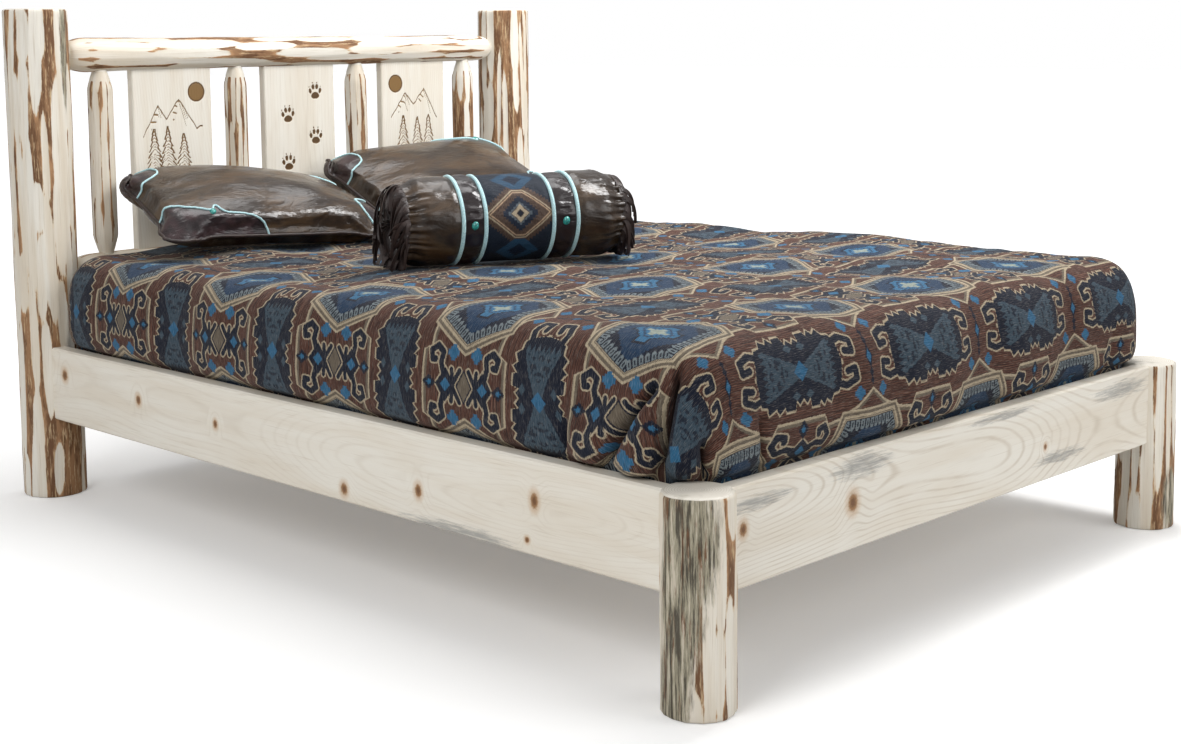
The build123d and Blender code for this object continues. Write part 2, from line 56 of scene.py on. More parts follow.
# ------------------------------------------------------------------ numbers into meshes
HASH_STEPS = np.array([127.1, 311.7, 74.7])
HASH_SEED_STEP = 19.19
HASH_SIZE = 43758.5453


def lattice_noise(points, cell, seed):
    """Smooth noise from -1 to 1: a random value at each corner of a lattice of that cell
    size, blended across the cell with a cubic weight."""
    scaled = np.asarray(points, float) / cell
    base = np.floor(scaled)
    share = scaled - base
    share = share * share * (3 - 2 * share)
    total = np.zeros(scaled.shape[:-1])
    for corner in np.ndindex(2, 2, 2):
        key = (base + corner) @ HASH_STEPS + HASH_SEED_STEP * seed
        value = np.sin(key) * HASH_SIZE
        value = 2 * (value - np.floor(value)) - 1
        total += value * np.prod(np.where(corner, share, 1 - share), axis=-1)
    return total


def smooth_step(low, high, value):
    """0 below low, 1 above high and a cubic blend between."""
    share = np.clip((value - low) / (high - low), 0, 1)
    return share * share * (3 - 2 * share)


def stacked(*parts):
    """The parts, stretched to one shape, side by side along a new last axis."""
    return np.stack(np.broadcast_arrays(*parts), -1)


def unit(vectors):
    """Vectors scaled to a length of 1."""
    return vectors / np.linalg.norm(vectors, axis=-1, keepdims=True)


def full_turn(count):
    """That many angles evenly round a circle, in radians."""
    return np.linspace(0, 2 * np.pi, count, endpoint=False)


def running_length(line):
    """The length from a line's start to each of its points."""
    return np.concatenate([[0], np.cumsum(np.linalg.norm(np.diff(line, axis=0), axis=1))])


def through(knots, count):
    """count points spaced evenly by length along a smooth curve through the knots: a cubic
    in each span with the slope of the chord between its neighbours."""
    knots = np.asarray(knots, float)
    padded = np.vstack([2 * knots[0] - knots[1], knots, 2 * knots[-1] - knots[-2]])
    share = np.linspace(0, 1, 24, endpoint=False)[:, None]
    pieces = []
    for a, b, c, d in zip(padded, padded[1:], padded[2:], padded[3:]):
        cubic = 2 * b + (c - a) * share + (2 * a - 5 * b + 4 * c - d) * share ** 2
        pieces.append(0.5 * (cubic + (3 * b - a - 3 * c + d) * share ** 3))
    line = np.vstack(pieces + [knots[-1:]])
    length = running_length(line)
    wanted = np.linspace(0, length[-1], count)
    return np.stack([np.interp(wanted, length, line[:, i]) for i in range(line.shape[1])], -1)


def new_mesh(name, vertices, faces, smooth=True):
    """An object at the origin with that mesh in the scene."""
    mesh = bpy.data.meshes.new(name)
    mesh.from_pydata(vertices.tolist(), [], faces.tolist() if hasattr(faces, "tolist") else faces)
    mesh.polygons.foreach_set("use_smooth", np.full(len(mesh.polygons), smooth))
    mesh.update()
    piece = bpy.data.objects.new(name, mesh)
    bpy.context.scene.collection.objects.link(piece)
    return piece


def add_values(piece, name, values):
    """Stores one number for each vertex, for the materials to read."""
    attribute = piece.data.attributes.new(name, "FLOAT", "POINT")
    attribute.data.foreach_set("value", np.asarray(values, np.float32).ravel())


def add_vectors(piece, name, values):
    """Stores one vector for each vertex, for the materials to read."""
    attribute = piece.data.attributes.new(name, "FLOAT_VECTOR", "POINT")
    attribute.data.foreach_set("vector", np.asarray(values, np.float32).ravel())


def grid_faces(rows, columns, around, looped=False):
    """Quads of a grid of rows x columns vertices, wrapped round its columns if around, and
    from its last row to its first if looped."""
    r = np.arange(rows if looped else rows - 1)[:, None]
    c = np.arange(columns if around else columns - 1)
    down = (r + 1) % rows
    n = (c + 1) % columns
    quads = stacked(r * columns + c, r * columns + n, down * columns + n, down * columns + c)
    return quads.reshape(-1, 4)


def closed_tube(name, rings, start=None, end=None):
    """A closed skin from rings of points, its two ends fanned to the points start and end,
    or else to the middles of the first and the last ring."""
    rows, columns = rings.shape[:2]
    start = rings[0].mean(axis=0) if start is None else start
    end = rings[-1].mean(axis=0) if end is None else end
    vertices = np.vstack([rings.reshape(-1, 3), start, end])
    c = np.arange(columns)
    n = (c + 1) % columns
    last_ring = (rows - 1) * columns
    faces = grid_faces(rows, columns, True).tolist()
    faces += stacked(n, c, rows * columns).tolist()
    faces += stacked(last_ring + c, last_ring + n, rows * columns + 1).tolist()
    return new_mesh(name, vertices, faces)


CORD_SIDES = 10
CORD_SIDE = np.array([0.137, 0.21, 0.97])


def cord_rings(path, heading, side, radius, sides):
    """Rings of points round a path, each square to its heading and turned to face its side."""
    heading = unit(heading)
    side = unit(np.cross(heading, side))
    up = np.cross(side, heading)
    angle = full_turn(sides)[:, None]
    return path[:, None] + radius * (np.cos(angle) * side[:, None] + np.sin(angle) * up[:, None])


def closed_cord(name, path, radius):
    """A round cord along an open path, its ends closed."""
    rings = cord_rings(path, np.gradient(path, axis=0), CORD_SIDE, radius, CORD_SIDES)
    return closed_tube(name, rings, path[0], path[-1])


def looped_cord(name, path, radius, sides=CORD_SIDES):
    """A round cord along a path that meets itself."""
    heading = np.roll(path, -1, axis=0) - np.roll(path, 1, axis=0)
    rings = cord_rings(path, heading, path - path.mean(axis=0), radius, sides)
    return new_mesh(name, rings.reshape(-1, 3), grid_faces(len(path), sides, True, looped=True))


def dress(piece, body, material, replaces=()):
    """Gives a finished piece its body and its material, and hides the CAD nodes it stands for."""
    piece.data.materials.clear()
    piece.data.materials.append(material)
    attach(piece, body)
    if replaces:
        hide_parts(*replaces)


def recoat(node, material):
    """Gives a CAD node whose shape is right its finished material."""
    mesh = NODES[node].data
    mesh.materials.clear()
    mesh.materials.append(material)


# ------------------------------------------------------------------ building materials
def tone(red, green, blue):
    """A colour given as screen values from 0 to 255, turned to the linear one Blender wants."""
    values = np.array([red, green, blue]) / 255
    linear = np.where(values <= 0.04045, values / 12.92, ((values + 0.055) / 1.055) ** 2.4)
    return (*linear.tolist(), 1)


def feed(tree, socket, value):
    """Links a term to a socket, or sets the socket to a plain value."""
    if isinstance(value, Term):
        tree.links.new(value.socket, socket)
    else:
        socket.default_value = value


def add_node(tree, kind, inputs=(), output=0, **settings):
    """Adds a shader node with those settings, feeds its inputs, given in order or by name,
    and returns one of its outputs as a term."""
    node = tree.nodes.new(f"ShaderNode{kind}")
    for label, value in settings.items():
        setattr(node, label, value)
    for label, value in inputs.items() if isinstance(inputs, dict) else enumerate(inputs):
        feed(tree, node.inputs[label], value)
    return Term(tree, node.outputs[output])


class Term:
    """A number, colour or vector inside a material, which plain arithmetic builds on."""

    def __init__(self, tree, socket):
        self.tree = tree
        self.socket = socket

    def math(self, operation, *others, clamp=False):
        return add_node(self.tree, "Math", (self, *others), operation=operation, use_clamp=clamp)

    def __add__(self, other):
        return self.math("ADD", other)

    def __sub__(self, other):
        return self.math("SUBTRACT", other)

    def __rsub__(self, other):
        return self.math("MULTIPLY_ADD", -1.0, other)

    def __mul__(self, other):
        return self.math("MULTIPLY", other)

    def __truediv__(self, other):
        return self.math("DIVIDE", other)

    def __abs__(self):
        return self.math("ABSOLUTE")

    __radd__ = __add__
    __rmul__ = __mul__

    def squared(self):
        return self.math("POWER", 2.0)

    def root(self):
        return self.math("SQRT")

    def least(self, other):
        return self.math("MINIMUM", other)

    def most(self, other):
        return self.math("MAXIMUM", other)

    def snap(self, step):
        """The value in whole steps."""
        return self.math("SNAP", step)

    def fold(self, period):
        """The value's distance from the nearest whole multiple of the period."""
        return self.math("PINGPONG", period / 2)

    def above(self, edge, blur):
        """1 above the edge, 0 below it, blurred over twice the blur."""
        return span_map(self, edge - blur, edge + blur, 0.0, 1.0, "SMOOTHSTEP")

    def below(self, edge, blur):
        """1 below the edge, 0 above it, blurred over twice the blur."""
        return span_map(self, edge - blur, edge + blur, 1.0, 0.0, "SMOOTHSTEP")


def span_map(term, low, high, out_low, out_high, kind="LINEAR"):
    """Maps low..high to out_low..out_high, held at both ends."""
    ends = (term, low, high, out_low, out_high)
    return add_node(term.tree, "MapRange", ends, interpolation_type=kind)


def stretched(vector, factors):
    """A vector multiplied axis by axis."""
    return add_node(vector.tree, "VectorMath", (vector, factors), operation="MULTIPLY")


def noise(vector, scale, detail=2.0, roughness=0.5, distortion=0.0):
    """Noise from 0 to 1 that varies over a length of one divided by the scale, which may be
    given for each axis."""
    if isinstance(scale, tuple):
        vector, scale = stretched(vector, scale), 1.0
    return add_node(vector.tree, "TexNoise", {
        "Vector": vector, "Scale": scale, "Detail": detail, "Roughness": roughness, "Distortion": distortion,
    }, "Fac")


def cells(vector, scale, feature="F1"):
    """The distance to the nearest of many scattered points, or to their cells' edges."""
    inputs = {"Vector": vector, "Scale": scale}
    return add_node(vector.tree, "TexVoronoi", inputs, "Distance", feature=feature)


def split(vector):
    """A vector's three numbers."""
    node = vector.tree.nodes.new("ShaderNodeSeparateXYZ")
    feed(vector.tree, node.inputs[0], vector)
    return [Term(vector.tree, socket) for socket in node.outputs]


def joined(tree, x, y, z):
    """A vector from three numbers."""
    return add_node(tree, "CombineXYZ", (x, y, z))


def blend(factor, first, second):
    """A colour between first, at 0, and second, at 1."""
    return add_node(factor.tree, "Mix", {"Factor": factor, 6: first, 7: second}, 2, data_type="RGBA")


def layered(colour, *layers):
    """Lays (mask, colour) pairs over a colour in turn."""
    for mask, over in layers:
        colour = blend(mask, colour, over)
    return colour


def read_value(tree, name):
    """A number stored on the mesh's vertices."""
    return add_node(tree, "Attribute", (), "Fac", attribute_name=name)


def read_vector(tree, name):
    """A vector stored on the mesh's vertices."""
    return add_node(tree, "Attribute", (), "Vector", attribute_name=name)


def object_place(tree):
    """The point's place in the bed's own frame, in metres."""
    return add_node(tree, "TexCoord", (), "Object")


class Finish:
    """A material with one Principled BSDF."""

    def __init__(self, name, roughness, specular=0.5, coat=0.0, sheen=0.0, metallic=0.0):
        self.material = bpy.data.materials.new(name)
        self.material.use_nodes = True
        self.tree = self.material.node_tree
        self.shader = self.tree.nodes["Principled BSDF"]
        self.set("Roughness", roughness)
        self.set("Specular IOR Level", specular)
        self.set("Coat Weight", coat)
        self.set("Coat Roughness", 0.25)
        self.set("Sheen Weight", sheen)
        self.set("Metallic", metallic)

    def set(self, socket, value):
        feed(self.tree, self.shader.inputs[socket], value)

    def relief(self, height, depth, socket="Normal"):
        """Bumps the surface, or its coat, by a height field whose 0 to 1 stands for depth metres."""
        inputs = {"Strength": 1.0, "Distance": depth, "Height": height}
        self.set(socket, add_node(self.tree, "Bump", inputs))


def effect_group(name, patterns):
    """A node group that turns a place into the numbers that patterns makes of it, by name."""
    tree = bpy.data.node_groups.new(name, "ShaderNodeTree")
    tree.interface.new_socket("Place", in_out="INPUT", socket_type="NodeSocketVector")
    source = tree.nodes.new("NodeGroupInput")
    results = patterns(Term(tree, source.outputs["Place"]))
    for label in results:
        tree.interface.new_socket(label, in_out="OUTPUT", socket_type="NodeSocketFloat")
    sink = tree.nodes.new("NodeGroupOutput")
    for label, term in results.items():
        feed(tree, sink.inputs[label], term)
    return tree


def use_group(tree, group, place):
    """Sets a node group in a tree and gives it the place. Returns its outputs by name."""
    node = tree.nodes.new("ShaderNodeGroup")
    node.node_tree = group
    feed(tree, node.inputs["Place"], place)
    return {socket.name: Term(tree, socket) for socket in node.outputs}


def wood_fibre(place):
    """Wood fibre along the place's Z: broad streaks, fine fibres and small dark pores."""
    return {
        "Streak": noise(place, (26, 26, 1.6), 3.0, 0.55),
        "Fibre": noise(place, (420, 420, 9), 2.0, 0.6),
        "Pore": noise(place, (900, 900, 60), 1.0),
    }


def leather_hide(place):
    """Leather: small creased cells, long soft creases, and worn patches."""
    return {
        "Grain": cells(place, 420.0, "DISTANCE_TO_EDGE").least(0.12) * 8.0,
        "Crease": noise(place, (15, 36, 26), 4.0, 0.60, 0.9),
        "Wear": noise(place, (6, 15, 11), 6.0, 0.66, 0.4),
    }


FIBRE = effect_group("wood_fibre", wood_fibre)
HIDE = effect_group("leather_hide", leather_hide)

# colours of the finishes
SAPWOOD = tone(229, 224, 213)
SAPWOOD_WARM = tone(216, 205, 187)
GROWTH_LINE = tone(184, 168, 146)
INNER_BARK = tone(178, 136, 98)
INNER_BARK_DARK = tone(112, 78, 52)
WEATHERED = tone(152, 145, 124)
WEATHERED_DARK = tone(46, 39, 29)
KNOT_CORE = tone(112, 76, 46)
BURN = tone(128, 98, 58)
COCOA_LEATHER = tone(38, 26, 16)
COCOA_WORN = tone(72, 53, 33)
PLUM_LEATHER = tone(26, 14, 17)


def log_finish():
    """Hand-peeled pine: pale where the knife cut, inner bark between the strokes, scattered
    knots, grey weathering where stored, and growth rings on the sawn ends. The mesh's stored
    place runs across and along the log; its ring value is the distance from the pith on a
    sawn end and 0 elsewhere."""
    finish = Finish("peeled_log", 0.5, specular=0.35)
    tree = finish.tree
    uv = read_vector(tree, "along_log")
    place = object_place(tree)
    fibre = use_group(tree, FIBRE, uv)
    ragged = noise(uv, (150, 150, 22), 4.0, 0.66)
    patchy = noise(uv, (20, 20, 5))
    peel = read_value(tree, "peel") + (ragged - 0.5) * 0.85 - (patchy - 0.5)
    left_on = peel.below(0.02, 0.05)
    bark = layered(
        INNER_BARK,
        (noise(uv, (60, 60, 9), 4.0, 0.7).above(0.50, 0.08), INNER_BARK_DARK),
        (peel.below(-0.20, 0.20) * 0.45, tone(100, 70, 46)),
        (noise(uv, (210, 210, 20), 3.0, 0.7).above(0.60, 0.07) * 0.8, tone(206, 180, 142)),
    )
    streaks = noise(uv, (170, 170, 10), 5.0, 0.72)
    weathered = layered(
        WEATHERED,
        (noise(uv, (90, 90, 9), 4.0, 0.7).above(0.60, 0.06), INNER_BARK_DARK),
        (streaks.above(0.53, 0.06) * 0.85, WEATHERED_DARK),
        (streaks.below(0.42, 0.05) * 0.6, SAPWOOD_WARM),
    )
    grey = read_value(tree, "grey") + (ragged - 0.5) * 1.5
    knot = cells(stretched(uv, (1.0, 1.0, 0.30)), 5.5) + (ragged - 0.5) * 0.03
    ring = read_value(tree, "ring")
    rings = (ring + noise(place, 22.0) * 0.007).fold(0.0046)
    sawn = layered(
        SAPWOOD,
        (rings.above(0.0017, 0.0006) * 0.55, GROWTH_LINE),
        (noise(place, 30.0, 4.0).above(0.6, 0.1) * 0.4, WEATHERED),
    )
    finish.set("Base Color", layered(
        SAPWOOD,
        (fibre["Streak"].above(0.52, 0.16), SAPWOOD_WARM),
        (fibre["Fibre"].above(0.64, 0.12) * 0.5, GROWTH_LINE),
        (peel.below(0.12, 0.07) * 0.55, tone(206, 178, 138)),
        (left_on, bark),
        (grey.above(0.5, 0.30), weathered),
        (knot.below(0.036, 0.020) * 0.8, tone(176, 138, 98)),
        (knot.below(0.016, 0.010), WEATHERED_DARK),
        (ring.above(0.0005, 0.0003), sawn),
    ))
    finish.set("Roughness", span_map(left_on, 0.0, 1.0, 0.46, 0.72))
    height = fibre["Fibre"] * 0.35 + ragged * left_on * 0.9 + noise(place, 60.0, 3.0) * 0.5
    finish.relief(height, 0.0011)
    return finish.material


RAIL_MID_HEIGHT = 0.287
RING_PITCH = 0.0078


def board_finish(name, along, spots=(), stains=(), burnt=False, raw=False, seed=0.0, figure=0.5):
    """Sawn pine, its growth rings cut as long arches. along names the axis the board runs on;
    spots are knots and stains are grey patches, each as (along, across, half length, half
    width) in metres."""
    finish = Finish(name, 0.5, specular=0.3)
    tree = finish.tree
    x, y, z = split(object_place(tree))
    length, across, depth = {"x": (x, z, y), "y": (y, z, x), "z": (z, x, y), "slat": (x, y, z)}[along]
    local = joined(tree, across, depth + seed, length)
    fibre = use_group(tree, FIBRE, local)

    def from_spot(spot):
        return ((length - spot[0]) / spot[2]).squared() + ((across - spot[1]) / spot[3]).squared()

    # the rings' distance from the pith, whose place wanders slowly along the board
    heart = noise(joined(tree, seed, 0.0, length * 0.55), 1.0, 1.0)
    bend = noise(joined(tree, across * 3.0, seed + 3.0, length * 1.7), 1.0)
    below = noise(joined(tree, seed + 7.0, 0.0, length * 0.8), 1.0, 1.0)
    below = span_map(below, 0.30, 0.70, 0.012, 0.17)
    mid_height = RAIL_MID_HEIGHT if along in ("x", "y") else 0.0
    off_heart = across - mid_height - (heart - 0.5) * 0.20 - bend * 0.022
    radius = (off_heart.squared() + below.squared()).root()
    core = None
    for spot in spots:
        far = from_spot(spot).root()
        radius = radius + span_map(far, 0.6, 4.5, 0.016, 0.0, "SMOOTHSTEP")
        core = far if core is None else core.least(far)
    rings = (radius + (noise(local, (30, 30, 3)) - 0.5) * 0.004).fold(RING_PITCH)
    line = rings.above(0.0030, 0.0009) * span_map(noise(local, 14.0), 0.35, 0.65, 0.25, 0.85)

    pale = tone(214, 190, 150) if raw else SAPWOOD
    warm = tone(196, 166, 122) if raw else SAPWOOD_WARM
    layers = [
        (fibre["Streak"].above(0.55, 0.2) * 0.55, warm),
        (noise(local, (12, 12, 2.6), 3.0, 0.6).above(0.56, 0.12) * 0.42, warm),
        (line * figure, GROWTH_LINE),
        (fibre["Fibre"].above(0.66, 0.1) * 0.3, GROWTH_LINE),
    ]
    if core is not None:
        rough_core = core + (noise(local, 260.0) - 0.5) * 0.5
        layers += [
            (rough_core.below(1.5, 0.6) * 0.5, tone(190, 150, 104)),
            (rough_core.below(0.9, 0.25), tone(150, 112, 74)),
            (rough_core.below(0.5, 0.25), KNOT_CORE),
        ]
    for spot in stains:
        streaky = from_spot(spot) + noise(local, (230, 230, 15), 5.0, 0.75) * 3.0
        layers.append((streaky.below(1.80, 0.50) * 0.75, tone(132, 132, 130)))
    if burnt:
        scorch = read_value(tree, "burn") + (noise(local, (500, 500, 60)) - 0.5) * 0.35
        layers += [(scorch.above(0.40, 0.16), BURN), (scorch.above(0.86, 0.12) * 0.75, tone(70, 48, 30))]
    finish.set("Base Color", layered(pale, *layers))
    finish.set("Roughness", span_map(line, 0.0, 1.0, 0.46, 0.58))
    finish.relief(fibre["Fibre"] * 0.6 + line * 0.25 + fibre["Pore"] * 0.15, 0.00045)
    return finish.material


def steel_finish():
    """Zinc-plated steel: a dull grain with faint spangle."""
    finish = Finish("zinc_steel", 0.38, metallic=1.0)
    place = object_place(finish.tree)
    spangle = cells(place, 160.0).above(0.4, 0.3)
    finish.set("Base Color", blend(spangle, tone(188, 190, 192), tone(158, 160, 164)))
    finish.set("Roughness", span_map(noise(place, 90.0, 3.0), 0.3, 0.7, 0.28, 0.5))
    finish.relief(noise(place, 400.0), 0.0002)
    return finish.material


def glide_finish():
    """Moulded black plastic with a fine spark-eroded grain."""
    finish = Finish("glide_plastic", 0.55)
    place = object_place(finish.tree)
    finish.set("Base Color", blend(noise(place, 60.0), tone(32, 32, 33), tone(46, 46, 47)))
    finish.relief(noise(place, 900.0, 1.0), 0.0002)
    return finish.material


def ticking_finish():
    """Quilted mattress ticking: fine stripes and a diamond of stitching pulled into wadding."""
    finish = Finish("mattress_ticking", 0.85, specular=0.2, sheen=0.1)
    place = object_place(finish.tree)
    x, y, z = split(place)
    seam = (x + y + z * 0.7).fold(0.110).least((x - y + z * 0.7).fold(0.110))
    stripe = (x + z * 0.5).fold(0.012)
    finish.set("Base Color", layered(
        tone(222, 219, 210),
        (stripe.above(0.0042, 0.0006), tone(196, 198, 200)),
        (seam.below(0.0012, 0.0006) * 0.5, tone(150, 148, 142)),
    ))
    puff = span_map(seam, 0.0, 0.030, 0.0, 1.0, "SMOOTHSTEP")
    finish.relief(puff + noise(place, 900.0, 1.0) * 0.03, 0.008)
    return finish.material


def grained_finish(name, roughness, grain, dark, light, depth, bumps=None, **gloss):
    """A plain material whose grain, a noise's scale, detail and roughness, picks between two
    colours and bumps the surface, unless the bumps have a grain of their own."""
    finish = Finish(name, roughness, **gloss)
    place = object_place(finish.tree)
    pattern = noise(place, *grain)
    finish.set("Base Color", blend(pattern.above(0.5, 0.2), dark, light))
    finish.relief(noise(place, *bumps) if bumps else pattern, depth)
    return finish.material


# ------------------------------------------------------------------ peeled logs
LOG_SIDES = 112
LOG_ROW_STEP = 0.0085
AXIS_TURNS = {"z": np.eye(3), "x": np.array([[0, 0, 1], [0, 1, 0], [-1, 0, 0]])}


def peel_strokes(arc, along, girth, length, seed, pitch, cover, missed):
    """How deep the peeling knife went. Strokes run end to end in columns round the log; each
    is a long lens, 1 on its middle line and 0 on its outline, and the deepest stroke wins;
    a share of the strokes is missed out. Below 0 the inner bark is left, in strips with long
    tapered ends."""
    random = np.random.default_rng(seed)
    depth = np.full(arc.shape, -1.0)
    columns = int(round(girth / pitch))
    for column in range(columns):
        height = random.uniform(-0.25, 0.0)
        while height < length:
            reach = random.uniform(0.10, 0.34)
            middle = (column + random.uniform(-0.22, 0.22)) * girth / columns
            half_width = pitch * cover * random.uniform(0.40, 0.84)
            half_length = reach * random.uniform(0.50, 0.68)
            lean = random.uniform(-0.035, 0.035)
            lift = along - height - reach / 2
            offset = (arc - middle - lean * lift + girth / 2) % girth - girth / 2
            lens = 1 - (offset / half_width) ** 2 - np.abs(lift / half_length) ** 2.6
            height += reach
            if random.uniform() > missed:
                depth = np.maximum(depth, lens)
    return depth


def log_skin(node, axis, profile, seed, material, pitch, cover, missed, cut, grey=None):
    """A peeled log in place of its CAD node. The profile is (height along the axis, radius)
    pairs; rings are spaced along it, knocked out of round by noise and pared down by the
    peeling strokes. pitch, cover and missed set the strokes' width, their share of that
    width and how many are left out; cut is their depth."""
    low, _, middle = span(node)
    start = (low[0], middle[1], middle[2]) if axis == "x" else (middle[0], middle[1], low[2])
    profile = np.asarray(profile, float)
    rows = [profile[:1]]
    for a, b in zip(profile, profile[1:]):
        count = max(1, int(round(np.linalg.norm(b - a) / LOG_ROW_STEP)))
        rows.append(a + (b - a) * np.linspace(0, 1, count + 1)[1:, None])
    rows = np.vstack(rows)
    height, radius = rows[:, :1], rows[:, 1:]
    widest = profile[:, 1].max()
    first, last = profile[0, 0], profile[-1, 0]
    angle, along = np.broadcast_arrays(full_turn(LOG_SIDES), height)
    girth = 2 * np.pi * widest
    depth = peel_strokes(angle * widest, along, girth, last - first, seed, pitch, cover, missed)
    on_side = smooth_step(0.72, 0.97, radius / widest) + 0 * angle
    surface = stacked(np.cos(angle) * widest, np.sin(angle) * widest, along)
    swell = lattice_noise(surface * [1, 1, 0.45], 0.085, seed) * 0.0016
    swell += lattice_noise(surface * [1, 1, 0.3], 0.03, seed + 5) * 0.0006
    pared = cut * np.clip(depth, -0.25, 1.0)
    reach = radius + on_side * (swell - pared) * (widest / 0.07) ** 0.5
    turn = AXIS_TURNS[axis].T
    rings = stacked(reach * np.cos(angle), reach * np.sin(angle), along) @ turn + start
    ends = np.array([[0, 0, first], [0, 0, last]]) @ turn + start
    piece = closed_tube(f"{node}_peeled", rings, *ends)

    # what the finish reads; the last two values belong to the ends' middle points
    along_log = surface + seed * 0.37
    at_end = (height <= first + 1e-6) | (height >= last - 1e-6)
    ring = np.where(at_end & (radius < widest * 0.985), radius + 0.002, 0) + 0 * angle
    weathering = np.zeros_like(along) if grey is None else grey(angle, along)
    add_values(piece, "peel", np.append(np.where(on_side > 0.5, depth, 0.6), [0.6, 0.6]))
    add_vectors(piece, "along_log", np.vstack([along_log.reshape(-1, 3), along_log[0, 0], along_log[-1, 0]]))
    add_values(piece, "ring", np.append(ring, [0.001, 0.001]))
    add_values(piece, "grey", np.append(weathering, [0, 0]))
    dress(piece, "bed_frame", material, [node])


def post_profile(radius, height):
    """A post's half outline from the middle of its foot to the middle of its sawn top, with
    worn rims."""
    ease = 0.005
    worn = 0.007
    return [
        (0, radius * 0.04), (0, radius - ease), (ease * 0.3, radius - ease * 0.3), (ease, radius),
        (height - worn, radius), (height - worn * 0.35, radius - worn * 0.3),
        (height, radius - worn), (height, radius * 0.04),
    ]


def tenoned_profile(length, radius_start, radius_end, shoulder, nose, neck, cone=0.0):
    """A log with both ends drawn down to a neck that enters its bore, in a rounded nose
    where cone is 0 and a straight pencil point with a soft edge where it is 1."""
    tail = 0.012
    turn = np.linspace(0, np.pi / 2, 9)
    rise = (1 - cone) * np.sin(turn) + cone * np.minimum(1.04 * turn / (np.pi / 2), 1)
    way = (1 - cone) * (1 - np.cos(turn)) + cone * turn / (np.pi / 2)
    up = [(shoulder + nose * w, neck + (radius_start - neck) * r) for w, r in zip(way, rise)]
    down = [(length - shoulder - nose * w, neck + (radius_end - neck) * r) for w, r in zip(way, rise)]
    start = [(shoulder - tail, neck * 0.1), (shoulder - tail, neck)]
    end = [(length - shoulder + tail, neck), (length - shoulder + tail, neck * 0.1)]
    return start + up + down[::-1] + end


def weather_patch(*patches):
    """Grey weathering from patches of (direction in degrees, height, half width in degrees,
    half height): 1 in the middle of each, falling to 0 at its edge."""
    def grey(angle, along):
        total = np.zeros_like(along)
        for direction, height, half_width, half_height in patches:
            off = (np.degrees(angle) - direction + 180) % 360 - 180
            far = (off / half_width) ** 2 + ((along - height) / half_height) ** 2
            total = np.maximum(total, 1.15 - 0.75 * far)
        return np.clip(total, 0, 1)
    return grey


def make_logs(material):
    """Every round log of the bed, in place of its CAD node."""
    dark_stripe = weather_patch((-62, 1.10, 9, 0.15))
    near_patch = weather_patch((206, 0.31, 50, 0.13), (190, 0.19, 42, 0.14), (176, 0.06, 34, 0.12))
    far_patch = weather_patch((268, 0.07, 26, 0.07), (20, 0.2, 30, 0.1))
    for node, seed, cover, missed, grey in (
        ("head_post_left", 11, 0.80, 0.20, dark_stripe),
        ("head_post_right", 12, 0.74, 0.20, None),
        ("foot_post_left", 13, 0.94, 0.10, near_patch),
        ("foot_post_right", 14, 0.84, 0.12, far_patch),
    ):
        low, high, _ = span(node)
        profile = post_profile((high[0] - low[0]) / 2, high[2] - low[2])
        log_skin(node, "z", profile, seed, material, 0.024, cover, missed, cut=0.0021, grey=grey)

    low, high, _ = span("head_post_left")
    shoulder = (high[0] - low[0]) / 2 + 0.0015
    for node, thick, thin, seed in (
        ("headboard_top_rail", 0.043, 0.0375, 21),
        ("headboard_bottom_rail", 0.044, 0.044, 22),
    ):
        low, high, _ = span(node)
        profile = tenoned_profile(high[0] - low[0], thick, thin, shoulder, nose=0.055, neck=0.024)
        log_skin(node, "x", profile, seed, material, pitch=0.023, cover=0.82, missed=0.20, cut=0.0016)

    for number in range(1, 5):
        node = f"headboard_spindle_{number}"
        low, high, _ = span(node)
        radius = (high[0] - low[0]) / 2
        length = high[2] - low[2]
        profile = tenoned_profile(length, radius, radius, 0.033, nose=0.044, neck=0.0185, cone=0.85)
        seed = 30 + number
        log_skin(node, "z", profile, seed, material, pitch=0.019, cover=0.74, missed=0.16, cut=0.0015)


# ------------------------------------------------------------------ engraved panels
PANEL_STEP = 0.0016
PANEL_EASE = 0.0025
ENGRAVING_DEPTH = 0.0016


def engraved_panel(node, depth_field, seed):
    """A panel whose front is a fine grid pushed back by the engraving's depth, closed by
    plain sides and a plain back. The burn value follows the depth."""
    low, high, middle = span(node)
    across = np.arange(low[0] + PANEL_EASE, high[0] - PANEL_EASE + 1e-9, PANEL_STEP)
    up = np.arange(low[2], high[2] + 1e-9, PANEL_STEP * 1.15)
    gx, gz = np.meshgrid(across, up)
    burn = depth_field(gx - middle[0], gz)
    front = stacked(gx, low[1] + ENGRAVING_DEPTH * np.clip(burn, 0, 1.2), gz)

    def column(x, y):
        return stacked(x, y, up)[:, None]

    front_edge, back_edge = low[1] + PANEL_EASE, high[1] - PANEL_EASE
    sheet = np.concatenate([
        column(low[0] + PANEL_EASE, high[1]), column(low[0], back_edge), column(low[0], front_edge),
        front,
        column(high[0], front_edge), column(high[0], back_edge), column(high[0] - PANEL_EASE, high[1]),
    ], axis=1)
    columns = sheet.shape[1]
    top = (len(up) - 1) * columns
    faces = grid_faces(len(up), columns, True).tolist()
    faces += [list(range(columns))[::-1], list(range(top, top + columns))]
    piece = new_mesh(f"{node}_engraved", sheet.reshape(-1, 3), faces, smooth=False)
    values = np.zeros(sheet.shape[:2])
    values[:, 3:-3] = burn
    add_values(piece, "burn", values)
    name = node.replace("headboard_panel", "panel_pine")
    material = board_finish(name, "z", burnt=True, figure=0.2, seed=seed)
    dress(piece, "bed_frame", material, [node])


def stroke(distance, half_width, blur=0.0011):
    """A burnt line round a distance of 0."""
    half_width = 1.35 * half_width
    return 1 - smooth_step(half_width - blur, half_width + blur, np.abs(distance))


